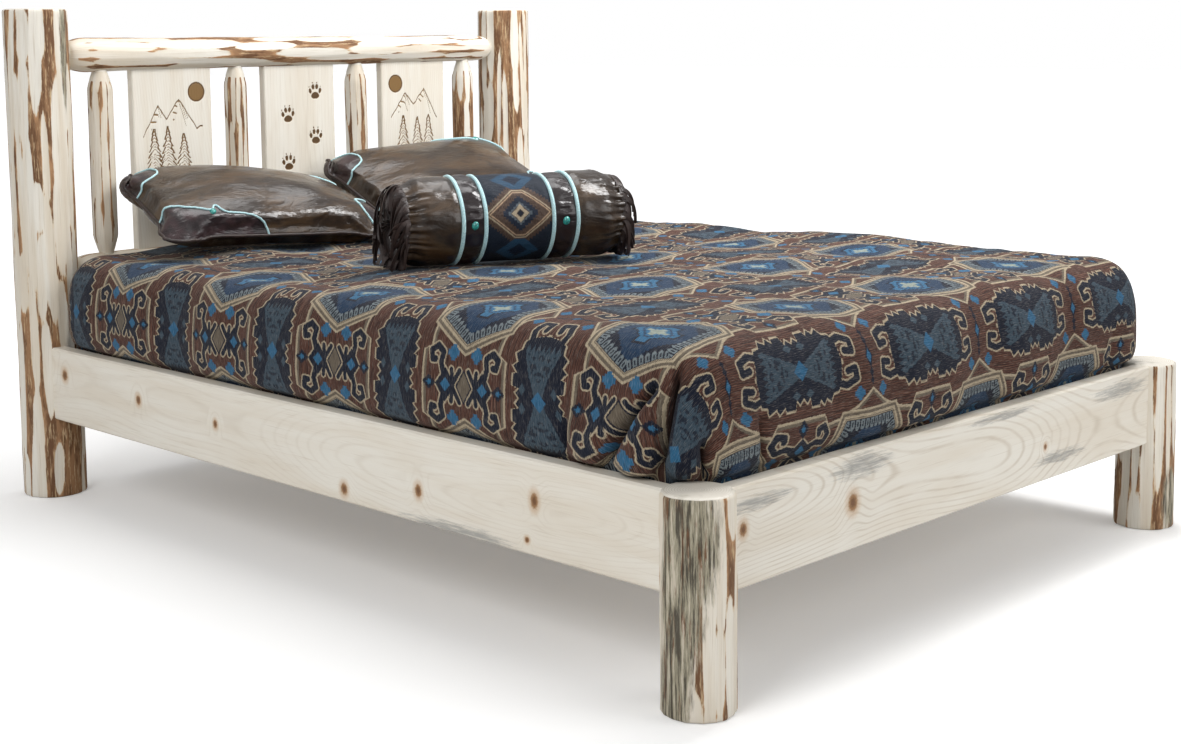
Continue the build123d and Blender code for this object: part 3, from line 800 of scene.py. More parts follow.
def disc(x, z, cx, cz, radius=0.0235):
    """A shallow filled disc inside a darker burnt rim."""
    far = np.hypot(x - cx, z - cz)
    filled = 1 - smooth_step(radius - 0.0012, radius + 0.0012, far)
    return np.maximum(0.62 * filled, stroke(far - radius, 0.0016))


PINE_TIERS = 7.0
HATCH_PITCH = 0.0105


def pine_tree(x, z, cx, base, height, width, seed):
    """An engraved pine: a saw-toothed outline that narrows to the tip, hatched with boughs,
    over a short trunk."""
    share = np.clip((z - base) / height, 0, 1)
    tooth = (share * PINE_TIERS) % 1.0
    reach = width * (1 - share) ** 0.92 * (1 - 0.42 * tooth) + 0.001
    inside = (z > base) & (z < base + height)
    wobble = lattice_noise(stacked(x, z, 0), 0.011, seed) * 0.0016
    side = np.abs(x - cx) + wobble - reach
    outline = stroke(side, 0.0013) * inside
    slope = (z - base) + 0.75 * np.abs(x - cx) + wobble * 2
    hatch = stroke((slope % 0.0078) - 0.0039, 0.0009) * (side < -0.001) * inside
    shade = (x > cx - 0.004) | (tooth < 0.35)
    trunk = (np.abs(x - cx) < 0.0035) & (z > base - 0.016) & (z <= base)
    return np.maximum.reduce([outline, hatch * 0.75 * shade, trunk * 0.8])


def ridge(x, z, points, seed, hatch_down=0.05):
    """An engraved mountain ridge: a jagged line with shading strokes falling from it."""
    points = np.asarray(points)
    top = np.interp(x, points[:, 0], points[:, 1], left=-1, right=-1)
    top = top + lattice_noise(stacked(x, 0, 0), 0.009, seed) * 0.0022
    within = (x > points[0, 0]) & (x < points[-1, 0])
    line = stroke(z - top, 0.0014) * within
    slant = x + 0.55 * (z - top)
    fall = (top - z) / hatch_down
    length = 0.55 + 0.45 * lattice_noise(stacked(np.floor(slant / HATCH_PITCH), 0, 0), 0.7, seed + 2)
    falls = np.append(np.diff(points[:, 1]) < 0, False).astype(float)
    down_slope = np.interp(x, points[:, 0], falls) > 0.5
    hatch = stroke(slant % HATCH_PITCH - 0.005, 0.0009) * (fall > 0.02) * (fall < length)
    return np.maximum(line, 0.8 * hatch * down_slope * within)


PICTURE_LIFT = 0.046


def pine_scene(sun, ridge_points, ridge_seed, pines):
    """A plain sun disc over a ridge and a stand of pines, as a depth field."""
    def burn(x, z):
        lower = z - PICTURE_LIFT
        parts = [disc(x, z, *sun), ridge(x, lower, ridge_points, ridge_seed)]
        return np.maximum.reduce(parts + [pine_tree(x, lower, *pine) for pine in pines])
    return burn


def turned(x, z, turn):
    """A place read on axes turned by that angle."""
    return x * math.cos(turn) + z * math.sin(turn), z * math.cos(turn) - x * math.sin(turn)


def paw(x, z, cx, cz, turn, size=0.027):
    """A plain paw print: a rounded heel pad, four toes and short claws."""
    u, v = turned(x - cx, z - cz, turn)
    u, v = u / size, v / size
    prints = [np.hypot(u / (0.42 - 0.22 * v), (v + 0.36) / 0.34) - 1]
    for tu, tv in ((-0.62, 0.12), (-0.24, 0.52), (0.24, 0.52), (0.62, 0.12)):
        a, b = turned(u - tu, v - tv, -0.35 * tu)
        prints.append(np.hypot(a / 0.17, b / 0.27) - 1)
        prints.append(np.hypot((a + 0.02) / 0.045, (b - 0.42) / 0.1) - 1)
    return 1 - smooth_step(-0.1, 0.1, np.minimum.reduce(prints))


def paw_trail(x, z):
    """Five prints in two uneven rows."""
    return np.maximum.reduce([paw(x, z, *place) for place in (
        (0.052, 0.973, 0.02), (-0.042, 0.912, 0.05), (0.051, 0.849, -0.03), (-0.043, 0.781, 0.04),
        (0.048, 0.71, 0.0),
    )])


# ------------------------------------------------------------------ run: the wooden frame
left_scene = pine_scene(
    (0.072, 0.985),
    [(-0.09, 0.83), (-0.045, 0.905), (-0.02, 0.872), (0.018, 0.922), (0.07, 0.845), (0.088, 0.85)], 3,
    [(-0.058, 0.742, 0.105, 0.026, 4), (-0.018, 0.728, 0.125, 0.03, 5), (0.03, 0.74, 0.092, 0.024, 6)],
)
right_scene = pine_scene(
    (-0.066, 0.988),
    [(-0.085, 0.842), (-0.03, 0.915), (0.0, 0.88), (0.04, 0.925), (0.088, 0.838)], 8,
    [(-0.04, 0.73, 0.12, 0.029, 9), (0.014, 0.745, 0.098, 0.025, 10), (0.056, 0.732, 0.118, 0.028, 12)],
)
make_logs(log_finish())
engraved_panel("headboard_panel_left", left_scene, 1.3)
engraved_panel("headboard_panel_centre", paw_trail, 4.1)
engraved_panel("headboard_panel_right", right_scene, 6.2)

SIDE_KNOTS = [
    (0.93, 0.315, 0.012, 0.014), (0.60, 0.30, 0.010, 0.012), (0.29, 0.29, 0.008, 0.010),
    (-0.16, 0.225, 0.011, 0.013), (-0.39, 0.262, 0.010, 0.014), (-0.71, 0.30, 0.010, 0.016),
    (-0.69, 0.225, 0.006, 0.006),
]
SIDE_STAINS = [(-0.5, 0.205, 0.2, 0.02)]
FAR_KNOTS = [(0.5, 0.29, 0.012, 0.013), (-0.3, 0.24, 0.01, 0.012)]
FOOT_KNOTS = [(-0.70, 0.30, 0.010, 0.013), (-0.39, 0.285, 0.015, 0.018), (0.28, 0.27, 0.006, 0.007)]
FOOT_STAINS = [
    (-0.36, 0.348, 0.12, 0.030), (-0.66, 0.340, 0.12, 0.018), (0.12, 0.362, 0.16, 0.012),
    (0.60, 0.342, 0.15, 0.026), (0.34, 0.240, 0.13, 0.018),
]
HEAD_KNOTS = [(0.3, 0.28, 0.012, 0.014)]
for node, name, along, knots, stains, seed, figure in (
    ("side_rail_left", "rail_pine_left", "y", SIDE_KNOTS, SIDE_STAINS, 2.0, 0.20),
    ("side_rail_right", "rail_pine_right", "y", FAR_KNOTS, (), 3.0, 0.5),
    ("foot_rail", "rail_pine_foot", "x", FOOT_KNOTS, FOOT_STAINS, 5.0, 0.52),
    ("head_cross_rail", "rail_pine_head", "x", HEAD_KNOTS, (), 7.0, 0.5),
):
    recoat(node, board_finish(name, along, knots, stains, seed=seed, figure=figure))

# the hidden nodes, by what their names start with; a later line wins
for starts, material in (
    (("slat_", "beam_cleat"), board_finish("slat_pine", "slat", raw=True, seed=9.0)),
    (("slat_ledger", "centre_beam"), board_finish("runner_pine", "y", raw=True, seed=10.0)),
    (("centre_leg",), board_finish("leg_pine", "z", raw=True, seed=11.0)),
    (("corner_straps", "corner_lag_bolts", "ledger_screws"), steel_finish()),
    (("leg_glides",), glide_finish()),
    (("mattress",), ticking_finish()),
):
    for node in NODES:
        if node.startswith(starts):
            recoat(node, material)

# ------------------------------------------------------------------ the bedspread's weave
# the cloth repeats every PITCH_U across the bed and PITCH_V along it, and is its own mirror
# image in both directions, so each figure is drawn once, from its middle outwards
PITCH_U = 0.382
PITCH_V = 0.3945
FIGURE_U = 0.259
FIGURE_V = 0.080
NAVY = tone(14, 22, 38)
BLUE = tone(24, 50, 76)
SKY = tone(44, 96, 130)
GREY_BLUE = tone(56, 72, 84)
COMB = tone(108, 118, 122)
BEIGE = tone(168, 154, 130)
STONE = tone(100, 90, 77)
RUSSET = tone(96, 62, 50)
RUSSET_DARK = tone(46, 29, 24)
EDGE = 0.0007


def inside(distance):
    """1 where a distance is negative."""
    return distance.below(0.0, EDGE)


def drawn(colour, *figures):
    """Paints (distance, colour) figures in turn, each where its distance is negative."""
    return layered(colour, *((inside(distance), paint) for distance, paint in figures))


def curve(term, points):
    """A value that follows straight lines between (input, output) points."""
    node = term.tree.nodes.new("ShaderNodeFloatCurve")
    line = node.mapping.curves[0]
    width = points[-1][0]
    height = max(value for _, value in points)
    line.points[0].location = (0, points[0][1] / height)
    line.points[1].location = (1, points[-1][1] / height)
    for place, value in points[1:-1]:
        line.points.new(place / width, value / height)
    for point in line.points:
        point.handle_type = "VECTOR"
    node.mapping.update()
    feed(term.tree, node.inputs["Value"], term / width)
    return Term(term.tree, node.outputs[0]) * height


def strokes_to(x, y, path):
    """The distance from (x, y) to a line drawn through the points of the path."""
    nearest = None
    for (ax, ay), (bx, by) in zip(path, path[1:]):
        dx, dy = bx - ax, by - ay
        size = dx * dx + dy * dy
        px, py = x - ax, y - ay
        share = (px * (dx / size)).math("ADD", py * (dy / size), clamp=True)
        off = (px - share * dx).squared() + (py - share * dy).squared()
        nearest = off if nearest is None else nearest.least(off)
    return nearest.root()


def small_cross(x, y, cx, cy, arm):
    """The distance to a stepped cross."""
    dx, dy = abs(x - cx), abs(y - cy)
    tall = (dx - arm * 0.36).most(dy - arm)
    wide = (dx - arm).most(dy - arm * 0.36)
    core = (dx - arm * 0.64).most(dy - arm * 0.64)
    return tall.least(wide).least(core)


def rayed(x, y, body, reach, half_width, tall):
    """The distance to a diamond with a thin ray to each side."""
    ray = (x - reach).most(y - half_width)
    return (x + y - body).least(ray).least((x - half_width).most(y - tall))


def kilim_colour(tree, u, v, ground):
    """The bedspread's figures over its ground: hooked hourglass medallions and ram's horns in
    columns, serrated hexagons between them, and a double line that steps between the rows."""
    x = (u - FIGURE_U).fold(PITCH_U)
    y = (v - FIGURE_V).fold(PITCH_V)
    far_u, far_v = PITCH_U / 2, PITCH_V / 2
    cx, cy = far_u - x, far_v - y

    # the double line between the rows, and slim lozenges between the medallions
    step = y - curve(x, [
        (0, 0.088), (0.060, 0.088), (0.070, 0.108), (0.104, 0.104), (0.150, 0.086), (far_u, 0.058),
    ])
    bead = cx - curve(y, [
        (0, 0.011), (0.020, 0.002), (0.028, 0.007), (0.036, 0.002), (0.043, 0.006), (0.052, 0), (far_v, 0),
    ])

    # serrated hexagons round a stepped star
    slant = cx * 0.893 + cy * 0.451 - 0.1040
    hexagon = (cy - 0.092).most(slant)
    on_side = (slant - (cy - 0.092)).above(0.0, 0.0002)
    comb = (on_side * (cy * 0.893 - cx * 0.451) + (1.0 - on_side) * cx).fold(0.0130)
    tongue = (comb - 0.0046).most(comb * 1.3 - hexagon - 0.0265).most(hexagon + 0.0052)
    sx, sy = cx.snap(0.0055), cy.snap(0.0055)
    star = rayed(sx, sy, 0.0410, 0.047, 0.0085, 0.041)

    # hooked hourglass medallions
    hook = strokes_to(x, y, [(0.100, 0.036), (0.126, 0.043), (0.150, 0.034), (0.148, 0.015), (0.130, 0.018)])
    body = y - curve(x, [
        (0, 0.048), (0.010, 0.058), (0.018, 0.049), (0.022, 0.066), (0.044, 0.066), (0.047, 0.057),
        (0.058, 0.068), (0.066, 0.057), (0.080, 0.066), (0.088, 0.052), (0.104, 0.050), (0.112, 0.034),
        (0.118, 0), (far_u, 0),
    ])
    medallion = (body.most(x - 0.117) * 0.8).least(hook - 0.0065)
    glass = (y - x * 0.42 - 0.008).most(x + y.fold(0.0130) * 2.2 - 0.100).most(-0.004 - x)
    mottle = noise(joined(tree, u, v, 0.0), 95.0)
    marks = noise(joined(tree, x * 1.2, y * 0.8, 4.0), 74.0)

    # double ram's horns, and serrated diamonds
    horn = strokes_to(x, cy, [
        (0.010, 0.052), (0.040, 0.062), (0.060, 0.058), (0.070, 0.074), (0.060, 0.090),
        (0.044, 0.086), (0.045, 0.078),
    ])
    lozenge = x * 0.62 + abs(cy - 0.050) * 0.78 - 0.0205
    neck = strokes_to(x, cy, [(0.030, 0.012), (0.004, 0.030), (0.030, 0.034)])
    horns = (horn - 0.0064).least(lozenge).least(neck - 0.0050)
    centre = x * 0.55 + cy * 0.83 - 0.0155
    bud = x * 0.8 + abs(y - 0.104) * 0.62 + y.fold(0.0060) * 0.8

    colour = drawn(
        ground,
        (abs(step - 0.0045) - 0.0035, STONE),
        (abs(step + 0.0008) - 0.0026, BEIGE),
        ((bead + 0.0005) * 0.7, NAVY),
        (cx * 1.7 + y - 0.0125, SKY),
        (hexagon - 0.0135, STONE),
        (abs(hexagon - 0.0125) - 0.0022, BEIGE),
        (hexagon - 0.0045, BEIGE),
        (hexagon + 0.0004, STONE),
        (hexagon + 0.0022, BEIGE),
        (hexagon + 0.0036, NAVY),
        (tongue, COMB),
        ((comb - 0.0016).most(abs(hexagon + 0.0130) - 0.0045), NAVY),
        ((sx * 0.72 + sy * 0.80 - 0.0690).most(hexagon + 0.0230), BLUE),
        (star - 0.0050, NAVY),
        (star, SKY),
        (abs(sx + sy - 0.0270) - 0.0030, BLUE),
        (rayed(sx, sy, 0.0130, 0.019, 0.003, 0.019), tone(138, 146, 136)),
        (medallion - 0.0034, BEIGE),
        (medallion, NAVY),
        (glass + (mottle - 0.5) * 0.010, GREY_BLUE),
    )
    colour = blend(inside(glass + 0.006) * marks.above(0.53, 0.03) * 0.8, colour, NAVY)
    return drawn(
        colour,
        (x + y - 0.0185, SKY),
        (abs(x - 0.018) * 0.7 + abs(y - 0.042) - 0.0080, GREY_BLUE),
        (horns - 0.0030, BEIGE),
        (horns, NAVY),
        (x * 0.8 + abs(cy - 0.050) * 0.8 - 0.0105, SKY),
        (centre - 0.0030, NAVY),
        (centre, STONE),
        (small_cross(x, y, 0.062, 0.166, 0.0150), SKY),
        (bud - 0.0125, NAVY),
        (bud - 0.0060, SKY),
        (small_cross(x, y, 0.156, 0.062, 0.0125), SKY),
    )


THREAD_STEP = 0.0016
WEAVE_ROW = 0.0044


def spread_finish():
    """The bedspread's jacquard: figures in coarse steps of thread on a heathered russet
    ground, streaked along the weft, with a ribbed surface whose grooves carry painted shade."""
    finish = Finish("woven_bedspread", 0.82, specular=0.14, sheen=0.06)
    tree = finish.tree
    cloth = read_vector(tree, "cloth")
    place_u, place_v, _ = split(cloth)
    wander = (noise(cloth, 260.0, 1.0) - 0.5) * 0.003
    rows = place_v.fold(WEAVE_ROW)
    streak = noise(cloth, (16, 520, 1), 3.0, 0.62)
    thread = noise(cloth, (60, 900, 1), 2.0, 0.6)
    ground = layered(
        RUSSET_DARK,
        (streak.above(0.47, 0.11), RUSSET),
        (streak.above(0.64, 0.08) * 0.5, tone(158, 116, 96)),
        # painted shade: dark lines along the rib grooves, where the bump is lowest
        (rows.below(0.0009, 0.0006) * streak.above(0.35, 0.20) * 0.55, tone(38, 25, 22)),
    )
    u, v = (place_u + wander).snap(THREAD_STEP), (place_v + wander).snap(THREAD_STEP)
    finish.set("Base Color", layered(
        kilim_colour(tree, u, v, ground),
        (thread.below(0.44, 0.10) * 0.46, tone(24, 18, 18)),
        (thread.above(0.62, 0.10) * 0.16, tone(206, 196, 184)),
    ))
    finish.relief(noise(cloth, (90, 520, 1), 2.0, 0.7) + rows * 120.0, 0.0012)
    return finish.material


# ------------------------------------------------------------------ bedspread
SPREAD_ROUND = 0.12
SHEET_THICKNESS = 0.006
CORNER_FANS = 44
DROP_RINGS = 42
# what lies outside these rests on the rails
RAIL_INSIDE_X = 0.770
RAIL_INSIDE_FOOT = -1.0595
# the drop's section: distance out from the flat top's edge, and height
DROP_KNOTS = [
    (0, 0.606), (0.03, 0.6055), (0.06, 0.600), (0.085, 0.585), (0.104, 0.560), (0.114, 0.525),
    (0.119, 0.480), (0.120, 0.440), (0.117, 0.410), (0.110, 0.392), (0.100, 0.3835),
    (0.092, 0.3800), (0.0882, 0.374), (0.0875, 0.360), (0.0875, 0.332),
]


def uneven_steps(low, high, fine_low, fine_high, fine=0.0055, coarse=0.018):
    """Positions from low to high, closely spaced for fine_low after low and for fine_high
    before high."""
    ends = (low, low + fine_low, high - fine_high, high)
    parts = []
    for a, b, step in zip(ends, ends[1:], (fine, coarse, fine)):
        parts.append(np.linspace(a, b, max(2, int(round((b - a) / step)) + 1))[:-1])
    return np.append(np.concatenate(parts), high)


def corner_folds(arc, height):
    """The rolled folds of the tucked corner by the near post, over (arc round the corner
    from its middle, height): how far the cloth moves out, and how far along towards each
    valley it is drawn, which closes the valley to a dark line."""
    down = np.clip((0.60 - height) / 0.22, 0, 1)
    out = np.zeros_like(arc)
    along = np.zeros_like(arc)
    for start, end, begin, depth, top_width, low_width in (
        (-0.029, -0.189, 0.16, 0.066, 0.010, 0.017),
        (-0.016, -0.064, 0.06, 0.076, 0.010, 0.018),
        (0.006, 0.026, 0.58, 0.040, 0.011, 0.012),
        (-0.262, -0.290, 0.45, 0.016, 0.024, 0.024),
        (0.150, 0.172, 0.40, 0.014, 0.022, 0.022),
    ):
        centre = start + (end - start) * down
        grow = smooth_step(begin, begin + 0.30, down)
        width = top_width + (low_width - top_width) * down
        off = (arc - centre) / width
        out -= depth * grow * np.exp(-off ** 2)
        along -= 0.84 * grow * (arc - centre) * np.exp(-(off / 1.9) ** 2)
    for start, end, begin, rise, width in (
        (-0.024, -0.126, 0.02, 0.024, 0.036),
        (-0.075, -0.235, 0.20, 0.016, 0.034),
        (0.022, -0.012, 0.10, 0.018, 0.030),
        (0.080, 0.085, 0.45, 0.014, 0.034),
    ):
        centre = start + (end - start) * down
        grow = smooth_step(begin, begin + 0.45, down)
        out += rise * grow * np.exp(-((arc - centre) / width) ** 2)
    return out, along


def make_bedspread(material):
    """The bedspread as one grid: the flat top is a grid of rows and columns, and from each
    point of its edge a line runs out and down the drop, fanned round the corners, then
    tucks inside the rails. The cloth's own place (u across the bed, v along it) carries on
    down the drops. Billows, soft upright folds and the rolled corner folds displace it."""
    rim_x = SPREAD_HIGH[0] - SPREAD_ROUND
    foot = SPREAD_LOW[1] + SPREAD_ROUND
    head = SPREAD_HIGH[1] - SPREAD_ROUND
    xs = uneven_steps(-rim_x, rim_x, 0.24, 0.12)
    ys = uneven_steps(foot, head, 0.24, 0.05)
    top = stacked(*np.meshgrid(xs, ys)).reshape(-1, 2)

    # the top's rim as (x, y, direction): at each corner a fan, then the side to the next
    sides = []
    for corner, (x, y, side_x, side_y) in enumerate((
        (-rim_x, foot, xs, foot), (rim_x, foot, rim_x, ys),
        (rim_x, head, xs[::-1], head), (-rim_x, head, -rim_x, ys[::-1]),
    )):
        start = 180 + 90 * corner
        sides.append(stacked(x, y, np.radians(start + np.linspace(0, 90, CORNER_FANS + 1))))
        sides.append(stacked(side_x, side_y, math.radians(start + 90))[1:-1])
    rim = np.vstack(sides)
    rim_x_all, rim_y_all, turn = rim.T
    cos, sin = np.cos(turn), np.sin(turn)

    # the drop's section, kept straight towards the headboard
    drop = through(DROP_KNOTS, DROP_RINGS)
    length = running_length(drop)[:, None]
    offset, height = drop[:, :1], drop[:, 1:]
    slope = unit(np.gradient(drop, axis=0))
    facing_head = smooth_step(0.3, 0.9, sin)
    straight = np.minimum(np.maximum.accumulate(offset, axis=0), 0.119)
    offset = offset * (1 - facing_head) + straight * facing_head

    # place along the edge, measured from the middle of the near corner
    step = np.hypot(np.diff(rim_x_all), np.diff(rim_y_all)) + SPREAD_ROUND * np.abs(np.diff(turn))
    edge = np.concatenate([[0], np.cumsum(step)])
    total = edge[-1] + np.hypot(*(rim[0, :2] - rim[-1, :2]))
    edge = edge - edge[CORNER_FANS // 2]
    arc, fall = np.broadcast_arrays(np.where(edge > total / 2, edge - total, edge), height)
    above_rail = smooth_step(0.376, 0.400, fall)

    # ripples and the folds of the near corner, with weaker ones at the far corner of the foot
    spot = stacked(arc, 0.3 * fall, 0)
    ripple = lattice_noise(spot, 0.17, 3) + 0.5 * lattice_noise(spot, 0.075, 4)
    near_out, near_along = corner_folds(arc, fall)
    far_out, far_along = corner_folds(xs[-1] - xs[0] + SPREAD_ROUND * np.pi / 2 - arc, fall)
    push = 0.0120 * ripple * (smooth_step(0.03, 0.2, length) * above_rail)
    push = push + near_out * above_rail + 0.45 * far_out * above_rail
    shift = (near_along - 0.45 * far_along) * above_rail
    out = push * -slope[:, 1:]
    drops = stacked(
        rim_x_all + offset * cos + out * cos - shift * sin,
        rim_y_all + offset * sin + out * sin + shift * cos,
        fall + push * slope[:, :1],
    )

    # top and drop together: each point's place on the cloth and in the bed's frame
    drop_cloth = stacked(rim_x_all + length * cos, rim_y_all + length * sin)
    cloth = np.vstack([top, drop_cloth[1:].reshape(-1, 2)])
    cloth = stacked(cloth[:, 0], cloth[:, 1], 0)
    flat_top = stacked(top[:, 0], top[:, 1], DROP_KNOTS[0][1])
    x, y, z = np.vstack([flat_top, drops[1:].reshape(-1, 3)]).T
    on_top = (smooth_step(0.16, 0.0, length) + 0 * cos)[1:].ravel()
    on_top = np.concatenate([np.ones(len(top)), on_top])

    # the top is higher towards the foot, with soft billows and fine puckers
    billow = 0.0085 * lattice_noise(cloth, 0.23, 11) + 0.0058 * lattice_noise(cloth * [1, 0.6, 1], 0.10, 12)
    billow += 0.0024 * lattice_noise(cloth, 0.042, 13)
    ramp = -0.005 + 0.014 * smooth_step(0.55, -0.75, y)
    z = z + on_top * (ramp + billow)
    on_side = np.where(np.abs(x) > rim_x, np.sign(x), 0) * (1 - on_top) * smooth_step(0.385, 0.41, z)
    x = x + 0.0011 * lattice_noise(cloth, 0.038, 15) * on_side
    over_rail = (np.abs(x) > RAIL_INSIDE_X) | (y < RAIL_INSIDE_FOOT)
    z = np.where(over_rail, np.maximum(z, RAIL_TOP + 0.0035), z)

    # faces of the drop, its first ring being the rim of the top's grid
    columns = len(rim)
    first_ring = np.searchsorted(ys, rim_y_all - 1e-9) * len(xs) + np.searchsorted(xs, rim_x_all - 1e-9)
    lower = len(top) + np.arange((DROP_RINGS - 1) * columns).reshape(-1, columns)
    rings = np.vstack([first_ring, lower])
    after = np.roll(rings, -1, axis=1)
    quads = np.stack([rings[:-1], rings[1:], after[1:], after[:-1]], -1).reshape(-1, 4)
    faces = grid_faces(len(ys), len(xs), False).tolist()
    faces += [quad[:3] if quad[0] == quad[3] else quad for quad in quads.tolist()]
    piece = new_mesh("bedspread_cloth", stacked(x, y, z), faces)
    add_vectors(piece, "cloth", cloth)
    shell = piece.modifiers.new("thickness", "SOLIDIFY")
    shell.thickness = SHEET_THICKNESS
    shell.offset = -1
    dress(piece, "mattress_set", material, ["bedspread"])


# ------------------------------------------------------------------ leather, piping and studs
COAT = 0.75


def leather(name, place, colour_parts, woven=None):
    """Distressed cocoa leather: worn lighter patches, creases darkened with painted shade, and a
    glossy film that breaks up. place names the stored place that the hide follows; colour_parts
    paints other parts over the hide's colour, and woven is 1 where cloth without that film is let in."""
    finish = Finish(name, 0.4, specular=0.16, coat=COAT)
    finish.set("Coat Roughness", 0.16)
    tree = finish.tree
    hide = use_group(tree, HIDE, read_vector(tree, place))
    colour = layered(
        COCOA_LEATHER,
        (hide["Wear"].above(0.50, 0.13), COCOA_WORN),
        # painted shade: the creases, the bump's low ground, darkened
        (hide["Crease"].below(0.40, 0.07) * 0.6, tone(30, 20, 15)),
    )
    finish.set("Base Color", colour_parts(tree, colour))
    if woven:
        finish.set("Coat Weight", (1.0 - woven(tree)) * COAT)
    finish.set("Roughness", span_map(hide["Wear"], 0.35, 0.65, 0.30, 0.52))
    finish.relief(hide["Grain"] * 0.045 + hide["Crease"], 0.0052)
    finish.relief(hide["Crease"], 0.0024, "Coat Normal")
    return finish.material


def plum_corners(tree, colour):
    """The shams' plum corner pieces over their hide."""
    grain = noise(read_vector(tree, "sham_place"), 30.0, 3.0)
    plum = blend(grain.above(0.5, 0.15), PLUM_LEATHER, tone(52, 34, 36))
    return blend(read_value(tree, "patch").above(0.0, 0.0012), colour, plum)


def turquoise_finish():
    """Polished turquoise with dark veins."""
    finish = Finish("turquoise", 0.22, specular=0.6, coat=0.5)
    place = object_place(finish.tree)
    vein = cells(place, 190.0, "DISTANCE_TO_EDGE")
    finish.set("Base Color", layered(
        tone(18, 132, 128),
        (noise(place, 160.0).above(0.5, 0.2), tone(52, 172, 160)),
        (vein.below(0.035, 0.02), tone(22, 46, 44)),
    ))
    finish.relief(vein.least(0.08) * 6.0, 0.0003)
    return finish.material


def make_stud(name, body, place, facing, radius, depth, material, set_down=None):
    """A domed stone on a surface point that faces that way: rings of points from below the
    surface up to the crown, put where set_down takes them."""
    facing = unit(facing)
    side = unit(np.cross(facing, [0.2, 0.1, 1.0]))
    up = np.cross(facing, side)
    bow = np.linspace(0, np.pi / 2, 7)[:, None]
    angle = full_turn(20)
    flat = radius * np.cos(bow * 0.97)
    rise = depth * np.sin(bow) - 0.002
    ring = (flat * np.cos(angle))[..., None]
    tall = (flat * np.sin(angle) * 1.2)[..., None]
    dome = place + ring * side + tall * up + (rise + 0 * angle)[..., None] * facing
    dome = np.vstack([dome[:1] - 0.003 * facing, dome])
    if set_down:
        dome = set_down(dome.reshape(-1, 3)).reshape(dome.shape)
    dress(closed_tube(name, dome), body, material)


# ------------------------------------------------------------------ shams
SHAM_REACH = (0.322, 0.202)
LARGE_PIECE = [
    (-0.330, -0.104), (-0.300, -0.086), (-0.264, -0.090), (-0.222, -0.120), (-0.188, -0.140),
    (-0.170, -0.126), (-0.150, -0.146), (-0.112, -0.150), (-0.074, -0.158), (-0.048, -0.178),
    (-0.030, -0.215),
]
SMALL_PIECE = [(-0.262, 0.210), (-0.254, 0.176), (-0.226, 0.128), (-0.238, 0.080), (-0.330, 0.052)]
STUD_SPOT = (-0.182, -0.143)
SEAM_START = 0.013
SKIN_CELL = 0.0062
PIPING_RADIUS = 0.0026
WELT_RADIUS = 0.0042
GAP_TO_HEADBOARD = 0.002
SUNK_IN_SPREAD = 0.006


def sham_outline(angle):
    """The seam's outline: a rounded rectangle with its sides drawn in between the corners."""
    power = 2 / 9.0
    x = SHAM_REACH[0] * np.sign(np.cos(angle)) * np.abs(np.cos(angle)) ** power
    y = SHAM_REACH[1] * np.sign(np.sin(angle)) * np.abs(np.sin(angle)) ** power
    pull_y = 1 - 0.04 * np.cos(1.55 * x / SHAM_REACH[0]) ** 1.5
    pull_x = 1 - 0.03 * np.cos(1.55 * y / SHAM_REACH[1]) ** 1.5
    return x * pull_x, y * pull_y


def sham_form(crown, belly, around=200, rings=36):
    """The starting form of a sham in its own frame, as rings from the crown out to the seam
    and in to the belly: the height rises steeply from the seam and levels at the crown."""
    ox, oy = sham_outline(full_turn(around) + SEAM_START)
    share = np.sin(np.linspace(0, 1, rings + 1)[1:] * np.pi / 2)
    r = np.concatenate([share, share[::-1][1:]])[:, None]
    side = np.concatenate([np.ones(rings), -np.ones(rings - 1)])[:, None]
    x, y = r * ox, r * oy
    corner_slim = (1 - np.abs(x / SHAM_REACH[0]) ** 3) * (1 - np.abs(y / SHAM_REACH[1]) ** 3)
    edge = np.clip(1 - r ** 2.2, 0, 1) ** 0.62
    rise = np.where(side > 0, crown, belly)
    z = side * rise * edge * (0.22 + 0.78 * np.clip(corner_slim, 0, 1) ** 0.6)
    return stacked(x, y, z)


def read_points(vertices, label):
    """Each vertex's place or normal, as an array."""
    points = np.empty(len(vertices) * 3, np.float32)
    vertices.foreach_get(label, points)
    return points.reshape(-1, 3).astype(float)


def move_points(piece, points):
    """Puts a piece's vertices at those places."""
    piece.data.vertices.foreach_set("co", points.astype(np.float32).ravel())
    piece.data.update()


def evaluated_vertices(piece):
    """The piece's vertices after its modifiers."""
    mesh = piece.evaluated_get(bpy.context.evaluated_depsgraph_get()).to_mesh()
    return read_points(mesh.vertices, "co")


def even_skin(piece, size):
    """Replaces a piece's mesh by an even one of that cell size, and returns its vertices."""
    even = piece.modifiers.new("even", "REMESH")
    even.mode = "VOXEL"
    even.voxel_size = size
    graph = bpy.context.evaluated_depsgraph_get()
    mesh = bpy.data.meshes.new_from_object(piece.evaluated_get(graph))
    piece.modifiers.clear()
    piece.data = mesh
    return evaluated_vertices(piece)


STUFFING_FRAMES = 20
STUFFED_CLOTH = {
    "quality": 5, "mass": 0.25, "tension_stiffness": 30, "compression_stiffness": 12,
    "shear_stiffness": 8, "bending_stiffness": 0.35, "use_pressure": True, "shrink_min": -0.02,
}


def stuff(piece, rest, pressure, cap):
    """Blows the leather up like a stuffed cover with the cloth solver, and returns each
    vertex's movement, no longer than the cap."""
    cloth = piece.modifiers.new("stuffing", "CLOTH")
    for label, value in STUFFED_CLOTH.items():
        setattr(cloth.settings, label, value)
    cloth.settings.uniform_pressure_force = pressure
    cloth.settings.effector_weights.gravity = 0
    cloth.point_cache.frame_start = 1
    cloth.point_cache.frame_end = STUFFING_FRAMES
    for frame_number in range(1, STUFFING_FRAMES + 1):
        bpy.context.scene.frame_set(frame_number)
        moved = evaluated_vertices(piece)
    piece.modifiers.clear()
    bpy.context.scene.frame_set(1)
    move = moved - rest
    length = np.linalg.norm(move, axis=1)[:, None]
    return move * np.minimum(1, cap / np.maximum(length, 1e-9))


